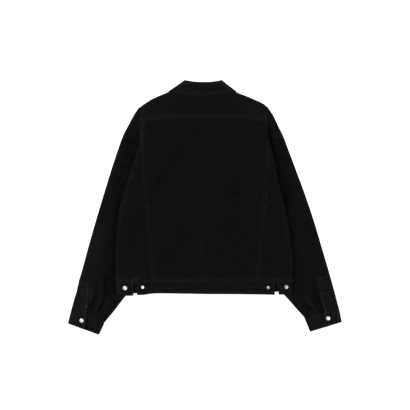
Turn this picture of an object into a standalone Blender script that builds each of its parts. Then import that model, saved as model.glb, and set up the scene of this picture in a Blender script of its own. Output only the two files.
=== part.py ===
"""A denim trucker jacket laid flat, face down, with its back up.

X runs across the back, Y up the back towards the collar, Z up from the surface it lies on. The origin is
the middle of the outline, on that surface. Sizes are in millimetres until a mesh is made, which is in
metres. "Left" is -X: the wearer's left, and the left side of the jacket seen from above.

Every cloth piece is an open surface with a Solidify wall. The layers lie on each other from the surface
up: sleeves, front panels and front waistband, back panels, back waistband, collar and buttons.
"""

import math

import bpy
import numpy as np
from mathutils import Vector

MM = 0.001

# ---- cloth ----
CLOTH = 1.6  # wall of one layer of denim
DOUBLED = 2.0  # wall of the waistbands and cuffs, which are doubled
SEAM = 0.3  # between pieces that are sewn to each other
BENT_SEAM = 0.4  # the same, where the cloth bends beside the seam
ARMHOLE_GAP = 0.5
AIR = 1.5  # between layers that only lie on each other
LAP = CLOTH + SEAM

# ---- body ----
BAND_TOP = -222.0  # height of the waistband seam
BAND_STEP = DOUBLED + SEAM  # what a waistband adds under or over a panel
BODY = np.array(
    # height, left edge, left back seam, right back seam, right edge
    [
        (-270, -269.0, -155.4, 159.6, 265.5),
        (-220, -273.0, -158.1, 160.9, 268.5),
        (-170, -274.0, -161.8, 163.0, 269.0),
        (-120, -272.4, -166.4, 166.1, 264.4),
        (-70, -269.4, -171.3, 170.0, 258.2),
        (-20, -262.8, -175.8, 176.1, 249.2),
        (30, -252.8, -180.1, 181.3, 236.8),
        (80, -236.8, -185.0, 184.7, 224.0),
        (130, -221.2, -188.6, 186.2, 215.0),
        (175, -207.2, -192.6, 187.3, 204.7),
        (205, -200.3, -193.4, 187.1, 196.6),
        (235, -199.9, -190.5, 185.5, 191.4),
        (262, -199.0, -186.2, 184.2, 189.6),
        (290, -197.0, -184.5, 182.0, 189.0),
        (313, -194.0, -184.0, 176.0, 183.8),
    ]
)
HEIGHT, LEFT_EDGE, LEFT_SEAM, RIGHT_SEAM, RIGHT_EDGE = BODY.T

TOP_LINE = np.array(
    # across, top of the back yoke, top of the front panels
    [
        (-200, 303.5, 303.5),
        (-195, 307.5, 307.5),
        (-182, 316.4, 316.4),
        (-163, 328.5, 328.5),
        (-136, 340.8, 340.8),
        (-121.5, 346.6, 346.6),
        (-112, 350.6, 350.4),
        (-104, 351.0, 350.0),
        (-99, 351.0, 347.6),
        (-57, 350.2, 325.0),
        (-14, 349.4, 296.8),
        (0, 349.3, 296.2),
        (14, 349.4, 296.8),
        (50, 350.2, 325.2),
        (83, 350.9, 347.4),
        (88, 351.0, 349.8),
        (97, 350.4, 350.2),
        (104.8, 346.6, 346.6),
        (121, 340.8, 340.8),
        (150.5, 328.6, 328.6),
        (177, 316.4, 316.4),
        (186, 310.3, 310.3),
        (191, 306.0, 306.0),
    ]
)
TOP_X, BACK_TOP, FRONT_TOP = TOP_LINE.T

YOKE_MID, YOKE_DROP, YOKE_HALF = 272.8, 12.4, 195.0  # yoke seam: its middle, its droop at the ends
YOKE_POWER = 2.5  # the droop grows with this power of the distance from the middle
NECK_MID = -8.0  # middle of the neck, across
PANEL_HEM = (-259.2, 0.0112)  # bottom of the panels behind the band: at the middle, and its slope

BAND_HEM = np.array(
    # across, bottom of the back waistband and its tabs
    [
        (-275, -264.5),
        (-245, -268.3),
        (-218, -268.3),
        (-206, -266.8),
        (-190, -266.6),
        (-160, -262.6),
        (-90, -262.4),
        (0, -263.6),
        (120, -264.7),
        (190, -265.6),
        (212, -266.0),
        (224, -265.4),
        (245, -265.0),
        (270, -262.4),
    ]
)
BAND_X, BAND_BOTTOM = BAND_HEM.T
LEFT_SLOT = (-217.6, -206.4)  # gap between the left tab and the back waistband
RIGHT_SLOT = (212.2, 224.4)

# ---- grid that the body's pieces share, so that layers stay apart where they bend ----
SIDE_SPLIT = (0.0, 0.14, 0.42, 0.71, 1.0)  # columns between a body edge and its back seam
CENTRE_COLUMNS = 16  # between the two back seams
SIDE_COLUMNS = len(SIDE_SPLIT) - 1
COLUMNS = CENTRE_COLUMNS + 2 * SIDE_COLUMNS
LOW_ROWS = (-241.0, BAND_TOP, -206.0)  # rows above the panels' hem
PANEL_ROWS = 23  # rows of cells from the hem to the yoke seam
YOKE_ROWS = 4
SHOULDER_ROW, ARMPIT_ROW = 26.9, 13  # the highest and lowest row at the armhole
FRONT_OVERLAP = 1  # columns that each front passes the middle by

# ---- how high the layers lie; a pair says where a rise starts to fall off, and over what width ----
SLEEVE_LIFT = 5.6  # under the body's side, over the tucked sleeve
TUCK_SIDE = (14.0, 42.0)  # past the tucked sleeve's inner edge
TUCK_TOP = (20.0, 55.0)  # height, from the armpit up the armhole
BUTTON_LIFT = 2.3  # under the front edge, over its row of buttons
BUTTON_SIDE, BUTTON_TOP = (23.0, 38.0), (278.0, 24.0)
COLLAR_LIFT = 2.4  # under the front neck, over the collar's leaves
COLLAR_SIDE, COLLAR_FOOT = (122.0, 30.0), (218.0, 28.0)
MIDDLE_LIFT = 6.8  # of the back over the lapped fronts
MIDDLE_HALF, MIDDLE_TOP = 100.0, (240.0, 70.0)
LAP_COLUMNS, LAP_TOP = 2, (300.0, 25.0)
CLOSE_STEP, WIDE_STEP = 16.0, 70.0  # panel above a waistband that bends to it: at the edges, and inside
SEWN_EASE = 22.0  # strip along a side or shoulder in which the back rises off the fronts
ARMHOLE_START = 40.0  # height up to which the sides are sewn
NECK_SIDE = (96.0, 16.0)  # from the middle of the neck: where the shoulder starts

# ---- sleeves ----
SLEEVE_FOLD = 2.2  # outer radius of a sleeve's folded edge
SLEEVE_FLAT = 2 * SLEEVE_FOLD
SLEEVE_LOFT = 2.0
LOFT_EASE, LOFT_FOOT = 36.0, (-205.0, 45.0)  # strip along an edge, and height, in which the loft grows
FREE_EASE = 34.0  # strip beside the body in which the sleeve comes free of it
ARMHOLE_EASE, ARMHOLE_FOOT = 40.0, (12.0, 9.0)  # where the top meets the back's edge
ARMPIT_FOOT = (-80.0, 60.0)  # height from which a tucked sleeve fills the space under the body's side
SLEEVE_TOP_CELLS, SLEEVE_LOW_CELLS = 11, 3  # cells across the upper and lower layer
SLEEVE_ROWS = 16  # rows from the armpit to the cuff
OUTER_LEFT = np.array(
    # height, outer edge
    [
        (-316.4, -408.2),
        (-285, -399.8),
        (-254, -390.4),
        (-223, -383.6),
        (-193, -374.6),
        (-132, -358.2),
        (-40, -332.0),
        (51, -304.8),
        (112, -285.9),
        (173, -265.8),
        (219, -249.0),
        (249, -233.8),
        (280, -217.0),
        (298, -205.4),
        (304.5, -199.8),
    ]
)
OUTER_RIGHT = np.array(
    # height, outer edge
    [
        (-311.9, 409.8),
        (-284, 402.4),
        (-254, 394.5),
        (-193, 377.4),
        (-132, 359.5),
        (-40, 332.0),
        (51, 301.2),
        (112, 278.6),
        (173, 255.7),
        (219, 237.9),
        (249, 223.1),
        (280, 208.5),
        (298, 196.8),
        (304.5, 192.0),
        (307.3, 189.4),
    ]
)
CROWN = np.array(
    # height at the armhole, height at the outer edge of the same row
    [
        (5, 34),
        (30, 58),
        (60, 89),
        (90, 120),
        (120, 151),
        (150, 181),
        (180, 210),
        (210, 236),
        (240, 260),
        (262, 279),
        (280, 292),
        (296, 300.5),
        (306.4, 304.5),
        (310, 306.2),
    ]
)
ARM_LEFT = np.array(
    # height of the outer edge, inner edge across and up, from the armpit to the cuff
    [
        (15, -236, -28),
        (-18, -211, -66),
        (-58, -192, -110),
        (-103, -185, -155),
        (-148, -194, -200),
        (-188, -214, -238),
        (-220.4, -242.3, -271.6),
        (-270.1, -275.3, -314.3),
        (-316.4, -305.5, -351.2),
    ]
)
ARM_RIGHT = np.array(
    # height of the outer edge, inner edge across and up, from the armpit to the cuff
    [
        (15, 226, -28),
        (-18, 203, -66),
        (-58, 186, -110),
        (-103, 180, -155),
        (-148, 190, -200),
        (-184, 212, -236),
        (-213.7, 243.2, -268.6),
        (-264.6, 273.0, -302.4),
        (-311.9, 302.4, -335.3),
    ]
)
FOLDS = (
    # the largest folds of the sleeves: from x, y to x, y, half width, height
    (-306, -246, -333, -322, 9.0, 2.5),
    (-279, -282, -303, -328, 9.0, 1.6),
    (-252, 214, -219, 231, 9.0, 1.6),
    (298, -264, 339, -317, 9.0, 2.5),
    (322, -262, 347, -316, 8.0, 1.5),
    (213, 218, 243, 224, 9.0, 1.6),
)
FOLD_FADE, FOLD_END = 0.3, 1.15  # how fast a fold rises and fades, and where it ends, of its length
PLACKET_LEFT = ((-382.4, -221.8), (-354.6, -230.9), (-363.2, -329.8), (-407.2, -315.0))
PLACKET_RIGHT = ((381.2, -203.6), (341.4, -212.6), (366.0, -319.8), (408.8, -310.5))
PLACKET_BOW = 2.4  # of its inner edge, towards the body
PLACKET_CLEAR = 0.6

# ---- cuffs: outer and inner corner at the seam, then at the open end ----
CUFF_LEFT = ((-408.2, -316.4), (-305.5, -351.2), (-417.4, -354.0), (-322.4, -388.8))
CUFF_RIGHT = ((409.8, -311.9), (302.4, -335.3), (417.4, -349.4), (320.6, -379.6))
CUFF_LAP = (0.457, 0.56)  # where the lapped end stops, at the seam and at the open end
CUFF_UNDERLAP = 22.0
CUFF_LOW, CUFF_MID, CUFF_HIGH = 1.0, 3.8, 6.2  # heights of its three layers
HIDDEN_POINTS, LOW_POINTS, LAP_POINTS = 8, 4, 5  # along its underlap, its lower layer and its lap

# ---- collar ----
COLLAR_MID, COLLAR_HALF, COLLAR_TURN = 5.0, 3.0, 1.2  # mid height, half height, radius of its roll
COLLAR_ROLL_Y, COLLAR_EDGE_Y, COLLAR_NECK_Y = 385.4, 351.8, 351.8
COLLAR_DIP = (5.8, 13.8, 1.6)  # how far the middle lies below the sides: roll, free edge, neck seam
DIP_POWER = 2.5
LEAF_WAY = (0.837, 0.547)  # direction in which a leaf's roll faces
LEAF_POINTS, TURN_POINTS, BACK_POINTS = 7, 4, 15  # along a leaf, its fold and the back of the neck
FALL_SIDES = ((-59.0, 48.8), (-107.5, 92.3))  # left and right, at the roll and at the free edge
STAND_SIDES = ((-59.0, 48.8), (-102.0, 86.5))
LEAF_END = ((10.0, 314.0), (60.0, 262.0))  # front end of a leaf: at the roll, and its point
STAND_END = ((10.0, 314.0), (14.0, 302.5))

# ---- buttons: across, up ----
BUTTON_RADIUS, SMALL_RADIUS = 7.2, 5.3
BUTTON_DEPTH, SMALL_DEPTH = 3.4, 2.8
FRONT_BUTTON_DEPTH = 2.0
BUTTON_REACH, BUTTON_CLEAR = 9.0, 0.6  # how far round a button its tilt is taken, and its gap
FRONT_BUTTON_HEIGHTS = (-243.0, -141.0, -39.0, 63.0, 165.0, 267.0)

DENIM = ((0.012, 0.012, 0.014), 0.92, 0.0)
METAL = ((0.86, 0.87, 0.88), 0.28, 1.0)


def ease(t):
    """0 below 0, 1 above 1, and a smooth step between."""
    t = np.clip(t, 0.0, 1.0)
    return t * t * (3.0 - 2.0 * t)


def through(x, xs, ys):
    """Smooth curve through (xs, ys): cubics whose slope at a point is the mean of those beside it."""
    slope = np.diff(ys) / np.diff(xs)
    tangent = np.concatenate([slope[:1], (slope[1:] + slope[:-1]) / 2, slope[-1:]])
    i = np.clip(np.searchsorted(xs, x, side="right") - 1, 0, len(xs) - 2)
    width = xs[i + 1] - xs[i]
    t = np.clip((x - xs[i]) / width, 0.0, 1.0)
    start = ys[i] + t * width * tangent[i] * (1 - t) ** 2
    step = (ys[i + 1] - ys[i]) * (3 * t**2 - 2 * t**3)
    end = width * tangent[i + 1] * t**2 * (t - 1)
    return start + step + end


def fall(value, start, width):
    """1 up to start, 0 from start + width on, and a smooth step between."""
    return 1 - ease((value - start) / width)


def blend_max(*heights):
    """The highest of several heights, with a soft change from one to another."""
    return sum(np.maximum(h, 0.0) ** 4 for h in heights) ** 0.25


def lerp(a, b, t):
    return a + (b - a) * t


# ---- the body's plan ----


def yoke_seam(x):
    return YOKE_MID - YOKE_DROP * np.abs(x / YOKE_HALF) ** YOKE_POWER


def panel_hem(x):
    return PANEL_HEM[0] + PANEL_HEM[1] * x


def column_x(column, y):
    """Where a column of the shared grid lies at height y."""
    left, left_seam = through(y, HEIGHT, LEFT_EDGE), through(y, HEIGHT, LEFT_SEAM)
    right, right_seam = through(y, HEIGHT, RIGHT_EDGE), through(y, HEIGHT, RIGHT_SEAM)
    split = np.arange(SIDE_COLUMNS + 1)
    on_left = lerp(left, left_seam, np.interp(column, split, SIDE_SPLIT))
    on_right = lerp(right, right_seam, np.interp(COLUMNS - column, split, SIDE_SPLIT))
    centre = lerp(left_seam, right_seam, (column - SIDE_COLUMNS) / CENTRE_COLUMNS)
    middle = np.where(column > COLUMNS - SIDE_COLUMNS, on_right, centre)
    return np.where(column < SIDE_COLUMNS, on_left, middle)


def row_y(row, x, top):
    """Height of a row: a few round the waistband, even ones to the yoke seam, then up to the top line."""
    low = len(LOW_ROWS)
    near_hem = np.interp(row, np.arange(low) + 1, LOW_ROWS)
    panel = lerp(LOW_ROWS[-1], yoke_seam(x), (row - low) / (PANEL_ROWS - low))
    yoke = lerp(yoke_seam(x), through(x, TOP_X, top), (row - PANEL_ROWS) / YOKE_ROWS)
    upper = np.where(row > PANEL_ROWS, yoke, panel)
    lower = np.where(row < 1, lerp(panel_hem(x), LOW_ROWS[0], row), near_hem)
    return np.where(row > low, upper, lower)


def body_plan(columns, rows, top):
    """x and y of the shared grid. They depend on each other, so a few rounds settle them."""
    column, row = np.meshgrid(np.asarray(columns, float), np.asarray(rows, float))
    x = column_x(column, np.zeros_like(column))
    for _ in range(8):
        y = row_y(row, x, top)
        x = column_x(column, y)
    return column, x, y


# ---- how high the body's layers lie ----


def sleeve_lift(x, y):
    """Rise over the sleeves that are tucked under the body's sides."""
    left = through(-y, -ARM_LEFT[:, 2], ARM_LEFT[:, 1])
    right = through(-y, -ARM_RIGHT[:, 2], ARM_RIGHT[:, 1])
    tucked = np.maximum(fall(x - left, *TUCK_SIDE), fall(right - x, *TUCK_SIDE))
    return SLEEVE_LIFT * tucked * fall(y, *TUCK_TOP)


def ground(x, y):
    """Bottom of the outermost layer of the fronts: what lies under it lifts it off the surface."""
    buttons = BUTTON_LIFT * fall(np.abs(x), *BUTTON_SIDE) * fall(y, *BUTTON_TOP)
    leaves = COLLAR_LIFT * fall(np.abs(x - NECK_MID), *COLLAR_SIDE) * (1 - fall(y, *COLLAR_FOOT))
    return blend_max(sleeve_lift(x, y), buttons, leaves)


def front_height(x, y):
    """Bottom of a front panel: it lies over the front waistband at the hem."""
    return ground(x, y) + BAND_STEP * fall(y, BAND_TOP, CLOSE_STEP)


def front_lap(column):
    """Rise of the right front over the left one."""
    return LAP * fall(column, COLUMNS / 2 + FRONT_OVERLAP, LAP_COLUMNS)


def from_edges(column, x, y):
    """0 where the back is sewn to the fronts, at the sides and shoulders, and 1 well inside."""
    from_side = np.minimum(x - column_x(0 * column, y), column_x(0 * column + COLUMNS, y) - x)
    side = np.maximum(ease(from_side / SEWN_EASE), ease(y / ARMHOLE_START))
    shoulder = ease((through(x, TOP_X, BACK_TOP) - y) / SEWN_EASE)
    return side * np.maximum(shoulder, fall(np.abs(x - NECK_MID), *NECK_SIDE))


def back_height(column, x, y):
    """Bottom of the back's panels and yoke, over the lapped fronts."""
    inside = from_edges(column, x, y)
    step = BAND_STEP * lerp(fall(y, BAND_TOP, CLOSE_STEP), fall(y, BAND_TOP, WIDE_STEP), inside)
    lapped = LAP * fall(np.abs(column - COLUMNS / 2), FRONT_OVERLAP, LAP_COLUMNS) * fall(y, *LAP_TOP)
    stack = ground(x, y) + lapped + CLOTH + lerp(SEAM, AIR, inside)
    middle = MIDDLE_LIFT * np.exp(-((x / MIDDLE_HALF) ** 2)) * fall(y, *MIDDLE_TOP) * inside
    return blend_max(stack, middle) + step


# ---- meshes ----


def material(name, look):
    color, roughness, metallic = look
    made = bpy.data.materials.new(name)
    made.use_nodes = True
    shader = made.node_tree.nodes["Principled BSDF"]
    shader.inputs["Base Color"].default_value = (*color, 1.0)
    shader.inputs["Roughness"].default_value = roughness
    shader.inputs["Metallic"].default_value = metallic
    made.diffuse_color = (*color, 1.0)
    return made


def clear_scene():
    for old in list(bpy.data.objects):
        bpy.data.objects.remove(old, do_unlink=True)


def collection(name):
    made = bpy.data.collections.new(name)
    bpy.context.scene.collection.children.link(made)
    return made


def add_object(name, mesh, look):
    mesh.materials.append(material(name, look))
    made = bpy.data.objects.new(name, mesh)
    JACKET.objects.link(made)
    return made


def surface(name, grid, wall, offset, weld=False):
    """A cloth piece: a grid of points (rows, columns, 3) in mm as an open surface, with a wall.

    offset is Solidify's: 1 puts the wall outside the surface, -1 inside and 0 half each way. weld joins
    points that lie on each other, which closes a tube.
    """
    rows, columns = grid.shape[:2]
    index = np.arange(rows * columns).reshape(rows, columns)
    corners = [index[:-1, :-1], index[:-1, 1:], index[1:, 1:], index[1:, :-1]]
    faces = np.stack(corners, axis=-1).reshape(-1, 4)
    mesh = bpy.data.meshes.new(name)
    mesh.from_pydata((grid.reshape(-1, 3) * MM).tolist(), [], faces.tolist())
    mesh.shade_smooth()
    made = add_object(name, mesh, DENIM)
    if weld:
        made.modifiers.new("join", "WELD").merge_threshold = 0.01 * MM
    thick = made.modifiers.new("wall", "SOLIDIFY")
    thick.thickness = wall * MM
    thick.offset = offset
    return made


def turned(name, profile, steps, place, up):
    """A turned piece: a profile of (radius, height) from the top of its axis round to its bottom."""
    mesh = bpy.data.meshes.new(name)
    points = [(radius * MM, 0.0, height * MM) for radius, height in profile]
    mesh.from_pydata(points, [(i, i + 1) for i in range(len(points) - 1)], [])
    made = add_object(name, mesh, METAL)
    made.location = [value * MM for value in place]
    made.rotation_euler = Vector(up).to_track_quat("Z", "Y").to_euler()
    screw = made.modifiers.new("turn", "SCREW")
    screw.axis = "Z"
    screw.steps = screw.render_steps = steps
    screw.use_merge_vertices = True
    screw.merge_threshold = 0.0001
    screw.use_smooth_shade = True
    return made


# ---- body pieces ----


def seam_shift(x, columns):
    """Half a gap off the sides of a piece, so that its wall stays off the next one's where they bend."""
    shifted = x.copy()
    if columns[0] > 0:
        shifted[:, 0] += BENT_SEAM / 2
    if columns[-1] < COLUMNS:
        shifted[:, -1] -= BENT_SEAM / 2
    return shifted


def back_piece(name, columns, rows):
    column, x, y = body_plan(columns, rows, BACK_TOP)
    z = back_height(column, x, y)
    if rows[-1] == PANEL_ROWS:
        y[-1] -= SEAM / 2
    if rows[0] == PANEL_ROWS:
        y[0] += SEAM / 2
    return surface(name, np.stack([seam_shift(x, columns), y, z], axis=-1), CLOTH, 1)


def front_piece(name, columns, over):
    column, x, y = body_plan(columns, range(PANEL_ROWS + YOKE_ROWS + 1), FRONT_TOP)
    z = front_height(x, y) + (front_lap(column) if over else 0)
    return surface(name, np.stack([x, y, z], axis=-1), CLOTH, 1)


def band_rows(columns):
    """Grid of a waistband: its own bottom edge, then the rows of the panels that it lies on."""
    column, x, y = body_plan(columns, (0, 0, 1, 2), BACK_TOP)
    y[0] = through(x[0], BAND_X, BAND_BOTTOM)
    y[-1] -= SEAM
    return column, x, y


def back_band(name, columns, ends):
    """A back waistband piece between two x positions, on the back panels."""
    column, x, y = band_rows(columns)
    for side, end in zip((0, -1), ends):
        if end is not None:
            x[:, side] = end
    panel_y = y.copy()
    panel_y[0] = y[1]
    z = back_height(column, x, panel_y) + CLOTH + BENT_SEAM
    return surface(name, np.stack([x, y, z], axis=-1), DOUBLED, 1)


def front_band(name, columns, middle_side):
    _, x, y = body_plan(columns, (0, 1, 2), FRONT_TOP)
    y[-1] -= SEAM
    x[:, middle_side] += SEAM / 2 * (-1 if middle_side else 1)
    z = ground(x, y)
    return surface(name, np.stack([x, y, z], axis=-1), DOUBLED, 1)


def body_pieces():
    left, right = SIDE_COLUMNS, COLUMNS - SIDE_COLUMNS
    panel = range(PANEL_ROWS + 1)
    back_piece("back_centre", range(left, right + 1), panel)
    back_piece("back_side_left", range(left + 1), panel)
    back_piece("back_side_right", range(right, COLUMNS + 1), panel)
    back_piece("back_yoke", range(COLUMNS + 1), range(PANEL_ROWS, PANEL_ROWS + YOKE_ROWS + 1))
    middle = COLUMNS // 2
    front_piece("front_left", range(middle + FRONT_OVERLAP + 1), over=False)
    front_piece("front_right", range(middle - FRONT_OVERLAP, COLUMNS + 1), over=True)


def waistbands():
    """The back waistband and its two side tabs, and the plain front waistbands."""
    # A tab reaches from the body's edge to the slot, so its inner columns are pulled to the slot.
    back_band("waist_tab_left", (0, 1, 2), (None, LEFT_SLOT[0]))
    back_band("waist_tab_right", (COLUMNS - 2, COLUMNS - 1, COLUMNS), (RIGHT_SLOT[1], None))
    inner = range(3, COLUMNS - 2)
    back_band("waistband_back", (2.45, *inner, COLUMNS - 2.45), (LEFT_SLOT[1], RIGHT_SLOT[0]))
    middle = COLUMNS // 2
    left_end = middle + FRONT_OVERLAP
    front_band("waistband_front_left", range(left_end + 1), -1)
    front_band("waistband_front_right", range(left_end, COLUMNS + 1), 0)


# ---- sleeves ----


def fold_relief(x, y):
    """Height of the folds at (x, y): each is a soft ridge that fades towards its ends."""
    total = np.zeros_like(x)
    for x0, y0, x1, y1, width, height in FOLDS:
        along = np.array([x1 - x0, y1 - y0])
        length = np.hypot(*along)
        t = ((x - x0) * along[0] + (y - y0) * along[1]) / length**2
        away = ((x - x0) * along[1] - (y - y0) * along[0]) / length
        length_fade = ease(t / FOLD_FADE) * ease((FOLD_END - t) / FOLD_FADE)
        total += height * np.exp(-((away / width) ** 2)) * length_fade
    return total


def body_side(y, side):
    return through(y, HEIGHT, LEFT_EDGE if side < 0 else RIGHT_EDGE)


def sleeve_section(length, closed):
    """A flat sleeve cut across: from the inner edge along the lower layer, round the outer fold and back
    along the upper layer. Distance from the outer edge, how far round the outer fold (0 to 1), and how
    far round the inner one. An open section ends at the armhole, where the layers are sewn to the body.
    """
    r = SLEEVE_FOLD
    reach = r * (1 - math.sin(math.pi / 4))
    lower = np.linspace(length - r, r, SLEEVE_LOW_CELLS + 1)
    upper = np.linspace(r, length - r, SLEEVE_TOP_CELLS + 1)
    fold = r - r * np.sin(np.linspace(0, math.pi, 4)[1:-1])
    away = np.concatenate([[length, length - reach], lower, fold, upper, [length - reach, length]])
    outer_turn = np.concatenate([np.zeros(2 + len(lower)), [1 / 3, 2 / 3], np.ones(len(upper) + 2)])
    inner_turn = np.zeros(len(away))
    if closed:
        inner_turn[[0, 1]] = 0.5, 0.25
        inner_turn[[-1, -2]] = -0.5, -0.25
    return away, outer_turn, inner_turn


def sleeve_top(x, y, side, outer_away, inner_away, armhole_y):
    """Top of a sleeve: flat where the body lies on it, lofted and folded outside, just under the front
    at the armpit, and as high as the back's edge where it is sewn to it."""
    beside = (body_side(y, side) - x) * -side
    below = BAND_BOTTOM.min() - y
    outside = ease(np.maximum(beside, below) / FREE_EASE)
    off_edges = ease(outer_away / LOFT_EASE) * ease(inner_away / LOFT_EASE)
    loft = SLEEVE_LOFT * outside * off_edges * (1 - fall(y, *LOFT_FOOT))
    column = np.zeros_like(x) if side < 0 else np.full_like(x, COLUMNS)
    edge = back_height(column, body_side(y, side), y) + CLOTH
    near_inner = fall(inner_away, 0, ARMHOLE_EASE)
    flat = lerp(SLEEVE_FLAT, SLEEVE_LIFT - SEAM, near_inner * (1 - fall(y, *ARMPIT_FOOT)))
    sewn = near_inner * (1 - fall(armhole_y, *ARMHOLE_FOOT))
    return lerp(flat + loft, edge, sewn) + fold_relief(x, y) * outside


def sleeve_row(side, outer, inner, closed):
    """One row of a sleeve between a point of its outer edge and one of its inner edge or armhole."""
    length = math.hypot(*(inner - outer))
    away, outer_turn, inner_turn = sleeve_section(length, closed)
    x, y = lerp(outer, inner, (away / length)[:, None]).T
    top = sleeve_top(x, y, side, away, length - away, -999.0 if closed else inner[1])
    # A turn goes from the lower layer (0) to the upper one (1); half way up it is at mid height.
    level = np.where(inner_turn != 0, (1 - np.cos(np.abs(inner_turn) * math.pi)) / 2, 0.0)
    level = np.where(inner_turn < 0, 1 - level, level)
    level = np.where(inner_turn == 0, (1 - np.cos(outer_turn * math.pi)) / 2, level)
    return np.column_stack([x, y, level * top])


def sleeve(name, side):
    """A flattened tube. Its upper rows are open and end at the armhole, at the heights of the body's
    rows; from the armpit down its first and last column meet in the inner fold."""
    outer_edge, arm = (OUTER_LEFT, ARM_LEFT) if side < 0 else (OUTER_RIGHT, ARM_RIGHT)
    rows = (SHOULDER_ROW, *range(PANEL_ROWS + YOKE_ROWS - 1, ARMPIT_ROW - 1, -1))
    _, armhole_x, armhole_y = body_plan((0 if side < 0 else COLUMNS,), rows, BACK_TOP)
    armhole = np.column_stack([armhole_x + ARMHOLE_GAP * side, armhole_y])
    outer_y = through(armhole[:, 1], CROWN[:, 0], CROWN[:, 1])
    pairs = [(y, point, False) for y, point in zip(outer_y, armhole)]
    pairs[-1] = (*pairs[-1][:2], True)
    keys = np.vstack([[outer_y[-1], *armhole[-1]], arm])
    for station in np.linspace(0, len(arm), SLEEVE_ROWS + 1)[1:]:
        y, ix, iy = (through(station, np.arange(len(keys)), keys[:, k]) for k in range(3))
        pairs.append((y, np.array([ix, iy]), True))
    grid = []
    for y, inner, closed in pairs:
        outer = np.array([through(y, outer_edge[:, 0], outer_edge[:, 1]), y])
        grid.append(sleeve_row(side, outer, inner, closed))
    grid = np.array(grid)
    return surface(name, grid if side > 0 else grid[:, ::-1], CLOTH, -1, weld=True)


def placket(name, corners, side):
    """The strip that edges a sleeve's slit: it lies on the sleeve, along its outer fold."""
    outer_top, inner_top, inner_low, outer_low = np.array(corners)
    across, along = np.meshgrid(np.linspace(0, 1, 4), np.linspace(0, 1, 6))
    top = lerp(outer_top, inner_top, across[..., None])
    low = lerp(outer_low, inner_low, across[..., None])
    plan = lerp(low, top, along[..., None])
    bow = PLACKET_BOW * across * 4 * along * (1 - along)
    x = plan[..., 0] - side * (SLEEVE_FOLD * (1 - across) + bow)
    z = np.full_like(x, SLEEVE_FLAT + PLACKET_CLEAR)
    grid = np.stack([x, plan[..., 1], z], axis=-1)
    return surface(name, grid if side < 0 else grid[:, ::-1], CLOTH, 1)


# ---- cuffs ----


def cuff_path(length, lap):
    """A cuff's wall seen end on: from its hidden underlap, round the inner fold, along the surface,
    round the outer fold and over to the lapped end. Distance from the outer edge, and height."""
    inner, outer = (CUFF_MID - CUFF_LOW) / 2, (CUFF_HIGH - CUFF_LOW) / 2
    inner_at, outer_at = length - inner - DOUBLED / 2, outer + DOUBLED / 2
    turn = np.linspace(0, math.pi, 5)[1:-1]
    away = np.concatenate(
        [
            np.linspace(lap - CUFF_UNDERLAP, inner_at, HIDDEN_POINTS),
            inner_at + inner * np.sin(turn),
            np.linspace(inner_at, outer_at, LOW_POINTS),
            outer_at - outer * np.sin(turn),
            np.linspace(outer_at, lap, LAP_POINTS),
        ]
    )
    height = np.concatenate(
        [
            np.full(HIDDEN_POINTS, CUFF_MID),
            CUFF_LOW + inner * (1 + np.cos(turn)),
            np.full(LOW_POINTS, CUFF_LOW),
            CUFF_LOW + outer * (1 - np.cos(turn)),
            np.full(LAP_POINTS, CUFF_HIGH),
        ]
    )
    return away, height


def cuff(name, corners, side):
    seam_out, seam_in, end_out, end_in = np.array(corners)
    rows = []
    for part in np.linspace(0, 1, 4):
        out, inside = lerp(seam_out, end_out, part), lerp(seam_in, end_in, part)
        length = np.hypot(*(inside - out))
        away, height = cuff_path(length, length * lerp(*CUFF_LAP, part))
        plan = lerp(out, inside, (away / length)[:, None])
        if part == 0:
            plan += SEAM * (end_out - seam_out) / np.hypot(*(end_out - seam_out))
        rows.append(np.column_stack([plan, height]))
    grid = np.array(rows)
    return surface(name, grid if side < 0 else grid[:, ::-1], DOUBLED, 0)


# ---- collar ----


def collar_profile():
    """The collar seen end on, from the neck seam up the stand, over the roll and down the fall: how far
    down from the roll (0 to 1), the level off mid, how far past the roll, and 1 on the fall."""
    turn = np.linspace(-math.pi / 2, math.pi / 2, 5)
    down = np.concatenate([[1, 2 / 3, 1 / 3], np.zeros(5), [1 / 3, 2 / 3, 1]])
    level = COLLAR_TURN * np.concatenate([-np.ones(3), np.sin(turn), np.ones(3)])
    past = COLLAR_TURN * np.concatenate([np.zeros(3), np.cos(turn), np.zeros(3)])
    on_fall = np.arange(len(down)) >= 5
    return list(zip(down, level, past, on_fall))


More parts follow.
